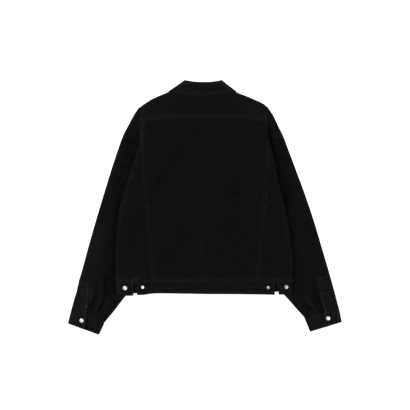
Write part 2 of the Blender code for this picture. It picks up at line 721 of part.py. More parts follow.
def collar_row(down, level, past, on_fall):
    """One line round the neck: left leaf, left fold, back, right fold, right leaf. half is half the
    space that the line goes round, so the leaves lie below the back of the neck."""
    sides = FALL_SIDES if on_fall else STAND_SIDES
    end = LEAF_END if on_fall else STAND_END
    left, right = (lerp(sides[0][k], sides[1][k], down) for k in (0, 1))
    side_y = lerp(COLLAR_ROLL_Y, COLLAR_EDGE_Y if on_fall else COLLAR_NECK_Y, down)
    dip = lerp(COLLAR_DIP[0], COLLAR_DIP[1] if on_fall else COLLAR_DIP[2], down)
    end_x, end_y = (lerp(end[0][k], end[1][k], down) for k in (0, 1))
    half = COLLAR_HALF + level
    out = np.linspace(1, 0, LEAF_POINTS)  # from a leaf's front end in to its fold
    across = np.linspace(-1, 1, BACK_POINTS)
    turn = np.linspace(-math.pi / 2, math.pi / 2, TURN_POINTS + 2)[1:-1]
    bend = (turn / math.pi + 0.5)[:, None]
    up, leaf = np.array([0.0, 1.0]), np.array(LEAF_WAY)
    leaf_left = np.column_stack([lerp(left, -end_x, out), lerp(side_y, end_y, out)]) + past * leaf
    fold_left = np.column_stack([left - half * np.cos(turn), np.full(TURN_POINTS, side_y)])
    fold_left = fold_left + past * lerp(leaf, up, bend)
    back_y = side_y - dip * (1 - np.abs(across) ** DIP_POWER)
    back = np.column_stack([lerp(left, right, (across + 1) / 2), back_y]) + past * up
    leaf, inward = leaf * (-1, 1), out[::-1]
    fold_right = np.column_stack([right + half * np.cos(turn), np.full(TURN_POINTS, side_y)])
    fold_right = fold_right + past * lerp(up, leaf, bend)
    leaf_right = np.column_stack([lerp(right, end_x, inward), lerp(side_y, end_y, inward)])
    leaf_right = leaf_right + past * leaf
    plan = np.concatenate([leaf_left, fold_left, back, fold_right, leaf_right])
    low, high = np.full(LEAF_POINTS, -half), np.full(BACK_POINTS, half)
    z = COLLAR_MID + np.concatenate([low, half * np.sin(turn), high, half * np.sin(-turn), low])
    return np.column_stack([plan, z])


def collar():
    grid = np.array([collar_row(*step) for step in collar_profile()])
    return surface("collar", grid[::-1], CLOTH, 0)


# ---- buttons ----


def shank_button(name, place, radius, depth, up=(0, 0, 1)):
    """A metal button: a foot on the cloth, a neck and a face with a rounded rim and a low dome."""
    profile = (
        (0.0, depth),
        (0.55 * radius, 0.97 * depth),
        (0.88 * radius, 0.88 * depth),
        (radius, 0.66 * depth),
        (0.94 * radius, 0.44 * depth),
        (0.6 * radius, 0.36 * depth),
        (0.6 * radius, 0.0),
        (0.0, 0.0),
    )
    return turned(name, profile, 16, place, up)


def band_top(x, y):
    """Top of the back waistband at one place."""
    columns = np.linspace(0, COLUMNS, 481)
    column = columns[np.abs(column_x(columns, np.full_like(columns, y)) - x).argmin()]
    panel = back_height(np.array([column]), np.array([x]), np.array([y]))[0]
    return float(panel) + CLOTH + BENT_SEAM + DOUBLED


def button_on_band(name, x, y, radius, depth):
    """A button that tilts with the waistband's slope across it."""
    left, right = band_top(x - BUTTON_REACH, y), band_top(x + BUTTON_REACH, y)
    up = (left - right, 0.0, 2 * BUTTON_REACH)
    foot = max(band_top(x, y), (left + right) / 2) + BUTTON_CLEAR
    return shank_button(name, (x, y, foot), radius, depth, up)


def buttons():
    for name, x, y, radius, depth in (
        ("waist_button_left_large", -242.6, -245.3, BUTTON_RADIUS, BUTTON_DEPTH),
        ("waist_button_left_small", -189.5, -242.9, SMALL_RADIUS, SMALL_DEPTH),
        ("waist_button_right_small", 192.8, -244.0, SMALL_RADIUS, SMALL_DEPTH),
        ("waist_button_right_large", 247.5, -242.1, BUTTON_RADIUS, BUTTON_DEPTH),
    ):
        button_on_band(name, x, y, radius, depth)
    lap_top = CUFF_HIGH + DOUBLED / 2 + SEAM
    shank_button("cuff_button_left", (-375.3, -344.6, lap_top), BUTTON_RADIUS, BUTTON_DEPTH)
    shank_button("cuff_button_right", (375.3, -337.9, lap_top), BUTTON_RADIUS, BUTTON_DEPTH)
    for number, y in enumerate(FRONT_BUTTON_HEIGHTS, 1):
        place = (0.0, y, FRONT_BUTTON_DEPTH)
        shank_button(f"front_button_{number}", place, BUTTON_RADIUS, FRONT_BUTTON_DEPTH, (0, 0, -1))


clear_scene()
JACKET = collection("denim_trucker_jacket")
body_pieces()
waistbands()
sleeve("sleeve_left", -1)
sleeve("sleeve_right", 1)
placket("sleeve_placket_left", PLACKET_LEFT, -1)
placket("sleeve_placket_right", PLACKET_RIGHT, 1)
cuff("cuff_left", CUFF_LEFT, -1)
cuff("cuff_right", CUFF_RIGHT, 1)
collar()
buttons()
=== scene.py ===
# %% [markdown]
# # A near-black denim trucker jacket, laid flat
#
# The jacket lies face down on a pale surface with its back up, and the camera looks straight down on it.
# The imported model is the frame: it has one solid for each piece that a maker would cut and sew. Here each
# piece is made again on a fine grid from the same sizes, so that it can carry creases, felled seams,
# topstitching and weave. X runs across the back, Y up towards the collar and Z up from the surface.

# %% The frame
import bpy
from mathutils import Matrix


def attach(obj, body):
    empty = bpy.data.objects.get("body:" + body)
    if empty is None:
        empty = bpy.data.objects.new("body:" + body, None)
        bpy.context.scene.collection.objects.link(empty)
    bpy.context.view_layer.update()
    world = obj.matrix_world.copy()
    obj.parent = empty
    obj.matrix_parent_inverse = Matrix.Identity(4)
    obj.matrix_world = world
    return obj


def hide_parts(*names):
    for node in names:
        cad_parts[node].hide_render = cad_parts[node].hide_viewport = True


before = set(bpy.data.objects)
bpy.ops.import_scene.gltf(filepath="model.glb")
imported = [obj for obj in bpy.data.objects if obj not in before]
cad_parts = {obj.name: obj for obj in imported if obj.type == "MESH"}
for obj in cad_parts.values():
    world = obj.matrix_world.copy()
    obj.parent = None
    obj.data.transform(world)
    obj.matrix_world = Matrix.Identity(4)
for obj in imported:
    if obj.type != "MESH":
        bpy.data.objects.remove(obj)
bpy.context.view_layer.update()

import math

import bpy
import numpy as np
from mathutils import Vector

print("nodes in the frame:", len(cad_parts))

# %% [markdown]
# ## Sizes
#
# A flat garment is a stack: the sleeves are tucked under the body, the fronts lie on them, and the back
# lies on the fronts. All sizes are in millimetres until a mesh is made. The tables hold the cut lines of
# the body and sleeves, with a row for each height.

# %% Cloth and body sizes


def table(*rows):
    """Rows of numbers as an array."""
    return np.array(rows, float)


MM = 0.001
CLOTH, DOUBLED = 1.6, 2.0  # one layer of denim, and a doubled band
SEAM, BENT_SEAM, ARMHOLE_GAP = 0.3, 0.4, 0.06  # gaps where pieces are sewn to each other
AIR = 1.5  # between layers that only lie on each other
LAP = CLOTH + SEAM
BAND_TOP, BAND_STEP = -222.0, DOUBLED + SEAM

BODY = table(
    # height, left edge, left back seam, right back seam, right edge
    (-270, -269.0, -155.4, 159.6, 265.5),
    (-220, -273.0, -158.1, 160.9, 268.5),
    (-170, -274.0, -161.8, 163.0, 269.0),
    (-120, -272.4, -166.4, 166.1, 264.4),
    (-70, -269.4, -171.3, 170.0, 258.2),
    (-20, -262.8, -175.8, 176.1, 249.2),
    (30, -252.8, -180.1, 181.3, 236.8),
    (80, -236.8, -185.0, 184.7, 224.0),
    (130, -221.2, -188.6, 186.2, 215.0),
    (175, -207.2, -192.6, 187.3, 204.7),
    (205, -200.3, -193.4, 187.1, 196.6),
    (235, -199.9, -190.5, 185.5, 191.4),
    (262, -199.0, -186.2, 184.2, 189.6),
    (290, -197.0, -184.5, 182.0, 189.0),
    (313, -194.0, -184.0, 176.0, 183.8),
)
HEIGHT, LEFT_EDGE, LEFT_SEAM, RIGHT_SEAM, RIGHT_EDGE = BODY.T
TOP_LINE = table(
    # across, top of the back yoke, top of the front panels
    (-200, 303.5, 303.5), (-195, 307.5, 307.5), (-182, 316.4, 316.4), (-163, 328.5, 328.5),
    (-136, 340.8, 340.8), (-121.5, 346.6, 346.6), (-112, 350.6, 350.4), (-104, 351.0, 350.0),
    (-99, 351.0, 347.6), (-57, 350.2, 325.0), (-14, 349.4, 296.8), (0, 349.3, 296.2),
    (14, 349.4, 296.8), (50, 350.2, 325.2), (83, 350.9, 347.4), (88, 351.0, 349.8),
    (97, 350.4, 350.2), (104.8, 346.6, 346.6), (121, 340.8, 340.8), (150.5, 328.6, 328.6),
    (177, 316.4, 316.4), (186, 310.3, 310.3), (191, 306.0, 306.0),
)
TOP_X, BACK_TOP, FRONT_TOP = TOP_LINE.T
YOKE_MID, YOKE_DROP, YOKE_HALF, YOKE_POWER = 272.8, 12.4, 195.0, 2.5
PANEL_HEM = (-259.2, 0.0112)  # height at the middle, and slope
BAND_HEM = table(
    # across, bottom of the back waistband and its tabs
    (-275, -264.5), (-245, -268.3), (-218, -268.3), (-206, -266.8), (-190, -266.6),
    (-160, -262.6), (-90, -262.4), (0, -263.6), (120, -264.7), (190, -265.6), (212, -266.0),
    (224, -265.4), (245, -265.0), (270, -262.4),
)
BAND_X, BAND_BOTTOM = BAND_HEM.T
LEFT_SLOT, RIGHT_SLOT = (-217.6, -206.4), (212.2, 224.4)

# %% The grid and the stack
SIDE_SPLIT = (0.0, 0.14, 0.42, 0.71, 1.0)  # columns between a body edge and its back seam
CENTRE_COLUMNS = 16  # between the two back seams
SIDE_COLUMNS = len(SIDE_SPLIT) - 1
COLUMNS = CENTRE_COLUMNS + 2 * SIDE_COLUMNS
LOW_ROWS = (-241.0, BAND_TOP, -206.0)
PANEL_ROWS, YOKE_ROWS, ARMPIT_ROW, SHOULDER_ROW = 23, 4, 13, 26.9
FRONT_OVERLAP = 1  # columns that each front passes the middle by
SLEEVE_LIFT, BUTTON_LIFT, COLLAR_LIFT, MIDDLE_LIFT = 5.6, 2.3, 2.4, 6.8

# %% Sleeve, cuff, collar and button sizes
SLEEVE_FOLD, SLEEVE_LOFT = 2.2, 2.0
SLEEVE_FLAT = 2 * SLEEVE_FOLD
OUTER_LEFT = table(
    # height, outer edge
    (-316.4, -408.2), (-285, -399.8), (-254, -390.4), (-223, -383.6), (-193, -374.6),
    (-132, -358.2), (-40, -332.0), (51, -304.8), (112, -285.9), (173, -265.8), (219, -249.0),
    (249, -233.8), (280, -217.0), (298, -205.4), (304.5, -199.8),
)
OUTER_RIGHT = table(
    # height, outer edge
    (-311.9, 409.8), (-284, 402.4), (-254, 394.5), (-193, 377.4), (-132, 359.5), (-40, 332.0),
    (51, 301.2), (112, 278.6), (173, 255.7), (219, 237.9), (249, 223.1), (280, 208.5),
    (298, 196.8), (304.5, 192.0), (307.3, 189.4),
)
CROWN = table(
    # height at the armhole, height at the outer edge of the same row
    (5, 34), (30, 58), (60, 89), (90, 120), (120, 151), (150, 181), (180, 210), (210, 236),
    (240, 260), (262, 279), (280, 292), (296, 300.5), (306.4, 304.5), (310, 306.2),
)
ARM_LEFT = table(
    # height of the outer edge, inner edge across and up
    (15, -236, -28), (-18, -211, -66), (-58, -192, -110), (-103, -185, -155),
    (-148, -194, -200), (-188, -214, -238), (-220.4, -242.3, -271.6), (-270.1, -275.3, -314.3),
    (-316.4, -305.5, -351.2),
)
ARM_RIGHT = table(
    # height of the outer edge, inner edge across and up
    (15, 226, -28), (-18, 203, -66), (-58, 186, -110), (-103, 180, -155), (-148, 190, -200),
    (-184, 212, -236), (-213.7, 243.2, -268.6), (-264.6, 273.0, -302.4),
    (-311.9, 302.4, -335.3),
)
PLACKET_LEFT = ((-382.4, -221.8), (-354.6, -230.9), (-363.2, -329.8), (-407.2, -315.0))
PLACKET_RIGHT = ((381.2, -203.6), (341.4, -212.6), (366.0, -319.8), (408.8, -310.5))
PLACKET_BOW, PLACKET_CLEAR, PLACKET_REACH = 2.4, 0.6, 1.6
CUFF_LEFT = ((-408.2, -316.4), (-305.5, -351.2), (-417.4, -354.0), (-322.4, -388.8))
CUFF_RIGHT = ((409.8, -311.9), (302.4, -335.3), (417.4, -349.4), (320.6, -379.6))
CUFF_LAP, CUFF_UNDERLAP = (0.457, 0.56), 22.0
CUFF_LOW, CUFF_MID, CUFF_HIGH = 1.0, 3.8, 6.2
COLLAR_MID, COLLAR_HALF, COLLAR_TURN = 5.0, 3.0, 1.2
COLLAR_ROLL_Y, COLLAR_EDGE_Y, COLLAR_NECK_Y = 385.4, 351.8, 351.8
COLLAR_DIP, DIP_POWER = (5.8, 13.8, 1.6), 2.5  # of the roll, the fall's edge and the neck seam
FALL_SIDES = ((-59.0, 48.8), (-107.5, 92.3))
STAND_SIDES = ((-59.0, 48.8), (-102.0, 86.5))
LEAF_END, STAND_END = ((10.0, 314.0), (60.0, 262.0)), ((10.0, 314.0), (14.0, 302.5))
BUTTON_RADIUS, SMALL_RADIUS = 7.2, 5.3
BUTTON_DEPTH, SMALL_DEPTH, FRONT_BUTTON_DEPTH = 3.4, 2.8, 2.0
BUTTON_REACH, BUTTON_CLEAR = 9.0, 0.6
FRONT_BUTTON_HEIGHTS = (-243.0, -141.0, -39.0, 63.0, 165.0, 267.0)

# %% [markdown]
# ## Curves
#
# Small functions do the shaping: a smooth step up or down, a smooth curve through the rows of a table, a
# soft highest-of-several that lets one layer drape over another, and bumps and lumps for what is uneven.

# %% Smooth steps and curves


def ease(t):
    """t^2 (3 - 2t) between 0 and 1, and flat outside."""
    t = np.clip(t, 0.0, 1.0)
    return t * t * (3.0 - 2.0 * t)


def fall(value, start, width):
    """1 up to start, 0 from start + width on, and a smooth step between."""
    return 1 - ease((value - start) / width)


def lerp(a, b, t):
    """a where t is 0, b where it is 1, and a straight line between."""
    return a + (b - a) * t


def through(x, xs, ys):
    """Cubic between neighbouring points; its slope at a point is the mean of the two beside it."""
    slope = np.diff(ys) / np.diff(xs)
    tangent = np.concatenate([slope[:1], (slope[1:] + slope[:-1]) / 2, slope[-1:]])
    i = np.clip(np.searchsorted(xs, x, side="right") - 1, 0, len(xs) - 2)
    width = xs[i + 1] - xs[i]
    t = np.clip((x - xs[i]) / width, 0.0, 1.0)
    start = ys[i] + t * width * tangent[i] * (1 - t) ** 2
    step = (ys[i + 1] - ys[i]) * (3 * t**2 - 2 * t**3)
    return start + step + width * tangent[i + 1] * t**2 * (t - 1)


def blend_max(*heights):
    """(sum of h^4)^(1/4): close to the highest, with no sharp change."""
    return sum(np.maximum(h, 0.0) ** 4 for h in heights) ** 0.25


def bump(distance, half_width):
    """exp(-(distance / half width)^2)."""
    return np.exp(-((distance / half_width) ** 2))


def lumps(x, y, size, seed):
    """Smooth unevenness of about unit height: seven plane waves with seeded directions and phases."""
    rng = np.random.default_rng(seed)
    total = np.zeros_like(x, dtype=float)
    for _ in range(7):
        turn, phase = rng.uniform(0, math.tau, 2)
        k = math.tau / (size * rng.uniform(0.75, 1.6))
        total += np.sin(k * (x * math.cos(turn) + y * math.sin(turn)) + phase)
    return total / 2.6


def uneven(x, y, *layers):
    """The sum of layers of lumps, each (weight, size, seed)."""
    return sum(weight * lumps(x, y, size, seed) for weight, size, seed in layers)


def spots(x, y, rows):
    """The sum of soft spots, each (across, up, half width, half height, weight)."""
    return sum(light * bump(x - a, wide) * bump(y - b, high) for a, b, wide, high, light in rows)


print("a curve through the left edge at height 100:", through(np.array(100.0), HEIGHT, LEFT_EDGE))

# %% [markdown]
# ## The body's plan
#
# The cut lines share one grid: its columns run from the left edge through the two back seams to the
# right edge, and its rows from the hem to the shoulders. A fine piece is that grid with more steps.

# %% Plan of the body


def yoke_seam(x):
    """Height of the yoke seam, which droops with a power of the distance from its middle."""
    return YOKE_MID - YOKE_DROP * np.abs(x / YOKE_HALF) ** YOKE_POWER


def panel_hem(x):
    """Bottom of the panels behind the waistband, which slopes a little."""
    return PANEL_HEM[0] + PANEL_HEM[1] * x


def edge_x(y, line):
    """Where a cut line of the body table lies at height y."""
    return through(y, HEIGHT, line)


def column_x(column, y):
    """Where a column of the shared grid lies at height y."""
    left, left_seam = edge_x(y, LEFT_EDGE), edge_x(y, LEFT_SEAM)
    right, right_seam = edge_x(y, RIGHT_EDGE), edge_x(y, RIGHT_SEAM)
    split = np.arange(SIDE_COLUMNS + 1)
    on_left = lerp(left, left_seam, np.interp(column, split, SIDE_SPLIT))
    on_right = lerp(right, right_seam, np.interp(COLUMNS - column, split, SIDE_SPLIT))
    centre = lerp(left_seam, right_seam, (column - SIDE_COLUMNS) / CENTRE_COLUMNS)
    middle = np.where(column > COLUMNS - SIDE_COLUMNS, on_right, centre)
    return np.where(column < SIDE_COLUMNS, on_left, middle)


def row_y(row, x, top):
    """Height of a row: a few round the waistband, even ones to the yoke seam, then up to the top."""
    low = len(LOW_ROWS)
    near_hem = np.interp(row, np.arange(low) + 1, LOW_ROWS)
    panel = lerp(LOW_ROWS[-1], yoke_seam(x), (row - low) / (PANEL_ROWS - low))
    yoke = lerp(yoke_seam(x), through(x, TOP_X, top), (row - PANEL_ROWS) / YOKE_ROWS)
    upper = np.where(row > PANEL_ROWS, yoke, panel)
    lower = np.where(row < 1, lerp(panel_hem(x), LOW_ROWS[0], row), near_hem)
    return np.where(row > low, upper, lower)


def body_plan(columns, rows, top):
    """x and y of the shared grid. They depend on each other, so a few rounds settle them."""
    column, row = np.meshgrid(np.asarray(columns, float), np.asarray(rows, float))
    x = column_x(column, np.zeros_like(column))
    for _ in range(8):
        y = row_y(row, x, top)
        x = column_x(column, y)
    return x, y


# %% [markdown]
# ## The stack's heights
#
# What lies underneath lifts what lies on it: the tucked sleeves lift the sides, the buttons lift the
# middle and the collar's leaves lift the neck. The same formulas made the solids, so each fine piece
# sits where its solid does, but for the armpits, where the cloth is drawn down a little lower.

# %% Heights of the layers
# Each pair says where a rise starts to fall off, and over what width.
TUCK_SIDE, TUCK_TOP = (14, 42), (5, 55)  # past a tucked sleeve's inner edge, and up from the armpit
BUTTON_SIDE, BUTTON_TOP = (23, 38), (278, 24)
COLLAR_SIDE, COLLAR_FOOT = (122, 30), (218, 28)
MIDDLE_HALF, MIDDLE_TOP = 100, (240, 70)
LAP_COLUMNS, LAP_TOP = 2, (300, 25)
CLOSE_STEP, WIDE_STEP = 16, 70  # panel above a waistband that bends to it: at the edges, and inside
SEWN_EASE, ARMHOLE_START = 22, 40  # strip in which the back rises off the fronts, and height of the sides
NECK_MID, NECK_SIDE = -8, (96, 16)


def from_neck(x):
    return np.abs(x - NECK_MID)


def sleeve_lift(x, y):
    """Rise over the sleeves that are tucked under the body's sides."""
    left = through(-y, -ARM_LEFT[:, 2], ARM_LEFT[:, 1])
    right = through(-y, -ARM_RIGHT[:, 2], ARM_RIGHT[:, 1])
    tucked = np.maximum(fall(x - left, *TUCK_SIDE), fall(right - x, *TUCK_SIDE))
    return SLEEVE_LIFT * tucked * fall(y, *TUCK_TOP)


def ground(x, y):
    """Bottom of the outermost layer of the fronts."""
    buttons = BUTTON_LIFT * fall(np.abs(x), *BUTTON_SIDE) * fall(y, *BUTTON_TOP)
    leaves = COLLAR_LIFT * fall(from_neck(x), *COLLAR_SIDE) * (1 - fall(y, *COLLAR_FOOT))
    return blend_max(sleeve_lift(x, y), buttons, leaves)


def middle_distance(x, y):
    """How far x is from the middle of the back, in columns of the shared grid."""
    left, right = edge_x(y, LEFT_SEAM), edge_x(y, RIGHT_SEAM)
    return CENTRE_COLUMNS * ((x - left) / (right - left) - 0.5)


def front_height(x, y, over):
    """Bottom of a front: over the front waistband at the hem, and the right one over the left."""
    lap = LAP * fall(middle_distance(x, y), FRONT_OVERLAP, LAP_COLUMNS) if over else 0
    return ground(x, y) + BAND_STEP * fall(y, BAND_TOP, CLOSE_STEP) + lap


def from_sides(x, y):
    """Distance inside the nearer side of the body."""
    return np.minimum(x - edge_x(y, LEFT_EDGE), edge_x(y, RIGHT_EDGE) - x)


def from_edges(x, y):
    """0 where the back is sewn to the fronts, at the sides and shoulders, and 1 well inside."""
    side = np.maximum(ease(from_sides(x, y) / SEWN_EASE), ease(y / ARMHOLE_START))
    shoulder = ease((through(x, TOP_X, BACK_TOP) - y) / SEWN_EASE)
    return side * np.maximum(shoulder, fall(from_neck(x), *NECK_SIDE))


def back_height(x, y):
    """Bottom of the back's panels and yoke, over the lapped fronts."""
    inside = from_edges(x, y)
    step = BAND_STEP * lerp(fall(y, BAND_TOP, CLOSE_STEP), fall(y, BAND_TOP, WIDE_STEP), inside)
    lapped = fall(np.abs(middle_distance(x, y)), FRONT_OVERLAP, LAP_COLUMNS) * fall(y, *LAP_TOP)
    stack = ground(x, y) + LAP * lapped + CLOTH + lerp(SEAM, AIR, inside)
    middle = MIDDLE_LIFT * bump(x, MIDDLE_HALF) * fall(y, *MIDDLE_TOP) * inside
    return blend_max(stack, middle) + step


print("the back over the middle lies at", round(float(back_height(np.array(0.0), np.array(0.0))), 1), "mm")

# %% [markdown]
# ## Creases, with painted light and shade
#
# Each crease is one row of a table: where it starts and ends on the photo, how wide and high it is,
# and how much lighter or darker the cloth is painted there: painted highlight on its ridge and painted
# shade in its hollow. The same rows shape the surface and its tone.

# %% Creases of the back and of the sleeves
PHOTO_SCALE = 3.05  # millimetres to a pixel of the 410 x 410 photo
PHOTO_MIDDLE = (204.85, 207.25)  # pixel of the jacket's origin


def from_photo(u, v):
    """Place on the jacket, in millimetres, of a pixel of the photo."""
    return (u - PHOTO_MIDDLE[0]) * PHOTO_SCALE, (PHOTO_MIDDLE[1] - v) * PHOTO_SCALE


BACK_CREASES = (
    # from u, v to u, v (pixels), half width, height, lightening: painted highlight above 0, painted shade
    # below 0
    (181, 148, 154, 189, 9, -0.9, -0.22),
    (172, 143, 151, 172, 10, 0.5, 0.10),
    (162, 196, 160, 212, 7, 0.5, 0.25),
    (156, 194, 154, 203, 6, 0.4, 0.2),
    (157, 222, 153, 236, 6, 0.5, 0.25),
    (161, 238, 158, 254, 6, 0.4, 0.18),
    (196, 218, 200, 223, 7, 0.35, 0.16),
    (203, 240, 200, 257, 8, 0.45, 0.2),
    (194, 245, 197, 254, 6, 0.35, 0.14),
    (226, 232, 236, 216, 16, -0.5, -0.12),
    (232, 180, 236, 200, 14, -0.5, -0.12),
    (182, 228, 176, 244, 14, -0.5, -0.1),
    (206, 125, 196, 135, 12, -0.3, -0.08),
    (240, 136, 243, 150, 10, 0.3, 0.12),
    (131, 250, 138, 268, 12, 0.5, 0.16),
    (140, 214, 128, 244, 14, -0.4, -0.12),
    (246, 262, 240, 270, 12, -0.3, -0.08),
    (250, 108, 256, 112, 9, 0.3, 0.35),
    (132, 172, 134, 178, 7, 0.3, 0.35),
)
# The sleeves' creases have the same columns: lightening above 0 is painted highlight, below 0 painted
# shade.
SLEEVE_CREASES = (
    # left sleeve: the head, then the folds above the cuff
    (123, 138, 129.5, 135.5, 4.5, 0.8, 0.65),
    (124, 146, 133, 141, 9, -0.7, -0.2),
    (118, 152, 108, 186, 10, 0.5, 0.12),
    (96, 225, 92, 262, 14, 0.8, 0.15),
    (100.5, 278, 101, 296, 8, 0.4, 0.15),
    (105.6, 275, 105.3, 294, 6.5, -1.0, -0.6),
    (104.8, 296, 102.6, 305, 5, -0.8, -0.55),
    (102, 305, 97.6, 312.5, 5.5, -0.8, -0.5),
    (102.4, 297, 98.8, 303.5, 3.8, 0.8, 0.8),
    (98.8, 303.5, 95.7, 311, 3.8, 0.8, 0.8),
    (94.8, 311, 94.4, 319, 5, 0.5, 0.3),
    (91.6, 286, 91.4, 298, 7, 0.4, 0.35),
    (95.8, 288, 95.5, 297, 5.5, -0.5, -0.25),
    (95.3, 297, 92, 304, 5.5, -0.8, -0.45),
    (92, 304, 88.4, 310, 5.5, -0.8, -0.5),
    (109.5, 280, 110, 287, 5, 0.2, 0.25),
    (101, 313, 106, 309, 8, 0.2, 0.2),
    # right sleeve
    (273.5, 135.4, 281, 136.2, 5, 0.8, 0.65),
    (273, 125, 279, 130, 9, -0.7, -0.25),
    (303, 205, 297, 190, 12, 0.5, 0.1),
    (313.4, 283, 315.3, 296, 3.6, -0.8, -0.4),
    (316.8, 297, 319.3, 304, 6.5, -0.9, -0.5),
    (320.8, 304, 323, 312, 4.5, -0.6, -0.5),
    (317, 284, 318.4, 295, 3.5, 0.3, 0.2),
    (304.5, 296.5, 316, 310.5, 3.6, 0.8, 0.85),
    (303.4, 302, 312, 311.4, 6.5, -0.8, -0.5),
    (307, 314, 316, 312, 6, 0.2, 0.25),
)
FOLD_SHAPES = (
    # the largest folds, as in the solids: from x, y to x, y, half width, height
    (-306, -246, -333, -322, 9.0, 2.5),
    (-279, -282, -303, -328, 9.0, 1.6),
    (-252, 214, -219, 231, 9.0, 1.6),
    (298, -264, 339, -317, 9.0, 2.5),
    (322, -262, 347, -316, 8.0, 1.5),
    (213, 218, 243, 224, 9.0, 1.6),
)


def along_line(x, y, x0, y0, x1, y1):
    """Share of the way from one point to another, and distance from the line between them."""
    dx, dy = x1 - x0, y1 - y0
    length = math.hypot(dx, dy)
    return ((x - x0) * dx + (y - y0) * dy) / length**2, ((x - x0) * dy - (y - y0) * dx) / length


def creases(x, y, rows):
    """Sum over crease rows of (height, painted light and shade): bumps across a line, weaker at both ends.
    """
    height, light = np.zeros_like(x), np.zeros_like(x)
    for u0, v0, u1, v1, width, rise, tone_shift in rows:
        t, away = along_line(x, y, *from_photo(u0, v0), *from_photo(u1, v1))
        shape = bump(away, width) * ease((t + 0.2) / 0.4) * ease((1.2 - t) / 0.4)
        height += shape * rise
        light += shape * tone_shift
    return height, light


def fold_relief(x, y):
    """Height of the largest sleeve folds: ridges that fade towards both ends."""
    total = np.zeros_like(x)
    for *line, width, height in FOLD_SHAPES:
        t, away = along_line(x, y, *line)
        total += height * bump(away, width) * ease(t / 0.3) * ease((1.15 - t) / 0.3)
    return total


# %% [markdown]
# ## Felled seams
#
# The back's seams are felled: one panel's edge is folded over the other's and held by two rows of
# topstitching, which leaves a strip that stands proud. It puckers along the stitches, wears paler there
# and catches the light, so the rows show as two pale broken lines: wear and painted highlight. The row
# on the folded edge is painted the palest.

# %% Seams of the back
FELL_RISE = 0.6  # how far a felled strip stands proud
STRIP_RIM, STRIP_EASE = 2.2, 1.2  # of a strip, beyond its rows
LEFT_ROWS, RIGHT_ROWS = (0.9, -6.6), (-2.4, 5.0)  # rows of stitches, from the seam outwards
YOKE_SEAM_ROWS = (1.8, 11.2)  # from the yoke seam upwards
LEFT_WEAR_AND_HIGHLIGHT, RIGHT_WEAR_AND_HIGHLIGHT, YOKE_WEAR_AND_HIGHLIGHT = (0.8, 0.1), (0.22, 0.45), (0.75, 0.35)  # lightening of each row: wear and painted highlight


def strip(d, rows):
    """1 on a felled strip, which reaches just past its two rows of stitches, and 0 off it."""
    low, high = min(rows) - STRIP_RIM, max(rows) + STRIP_RIM
    return ease((d - low) / STRIP_EASE) * ease((high - d) / STRIP_EASE)


def pucker(s, d, row):
    """Unevenness along a row of stitches at distance row: s runs along the seam and d across it."""
    wave = np.sin(s / 1.9 + 1.3 * np.sin(s / 17.0)) * np.sin(s / 3.1 + 0.7) + 0.5 * np.sin(s / 4.3)
    return wave * bump(d - row, 3.2)


def yoke_stitch_line(x):
    """The line that the yoke's rows follow: the seam, a little lower where the right side sags."""
    return yoke_seam(x) - 1.6 * bump(x - 85, 50)


def seam_distances(x, y):
    """Distance outside the left and right back seam, and above the yoke's stitch line."""
    return edge_x(y, LEFT_SEAM) - x, x - edge_x(y, RIGHT_SEAM), y - yoke_stitch_line(x)


def seam_detail(s, d, rows, row_wear_and_highlight, seed):
    """(height, lightening) of a felled seam: its strip, and pale puckered rows: wear and painted highlight.
    """
    height, light = FELL_RISE * strip(d, rows), 0.13 * strip(d, rows)
    paleness = 1 + 0.3 * lumps(s, s * 0, 17, seed)
    for row, tone_shift in zip(rows, row_wear_and_highlight):
        height = height + 0.14 * pucker(s, d, row)
        light = light + tone_shift * paleness * bump(d - row, 1.7) + 0.16 * pucker(s, d, row)
    return height, light


def collar_edge(x):
    """The lower edge of the collar's fall: an arc that is straighter in the middle."""
    left, right = FALL_SIDES[1]
    p = np.clip((x - (left + right) / 2) / ((right - left) / 2), -1, 1)
    return COLLAR_EDGE_Y - COLLAR_DIP[1] * (1 - np.abs(p) ** DIP_POWER)


SLOT_TONES = (
    # each slot of the waistband: its painted shadow line and its pale line, and lightening of the panel
    # above it
    (LEFT_SLOT, -213.4, -208.2, 1.0),
    (RIGHT_SLOT, 216.0, 221.8, 0.7),
)
BACK_SPOTS = (
    # across, up, half width, half height, lightening
    (-232, -205, 25, 25, 0.22),
    (0, -200, 40, 50, 0.08),
    (-150, 25, 20, 28, -0.14),
    (-113, -140, 26, 22, -0.1),
)


def back_seams(x, y):
    """(height, lightening) of the back's felled seams: wear and painted highlight."""
    left, right, up = seam_distances(x, y)
    height, light = seam_detail(x, up, YOKE_SEAM_ROWS, YOKE_WEAR_AND_HIGHLIGHT, 13)
    light = light + ease(up / 4) * (0.08 + 0.18 * ease((from_neck(x) - 70) / 60))
    panel = ease(-up / 2) * (y > BAND_TOP)
    near_armhole = 1 + 0.7 * ease((y - 170) / 40) * (x < 0)
    near_hem = 0.3 * ease((-150 - y) / 50)
    for d, rows, row_wear_and_highlight, seed in ((left, LEFT_ROWS, LEFT_WEAR_AND_HIGHLIGHT, 11), (right, RIGHT_ROWS, RIGHT_WEAR_AND_HIGHLIGHT, 12)):
        rise, tone_shift = seam_detail(y, d, rows, row_wear_and_highlight, seed)
        height = height + panel * rise
        light = light + panel * (tone_shift * near_armhole + near_hem * bump(d + 2, 6))
    light += 0.2 * bump(right - 5, 6) * bump(y - 160, 35) + 0.14 * bump(left + 2, 6) * bump(y - 180, 30)
    return height, light


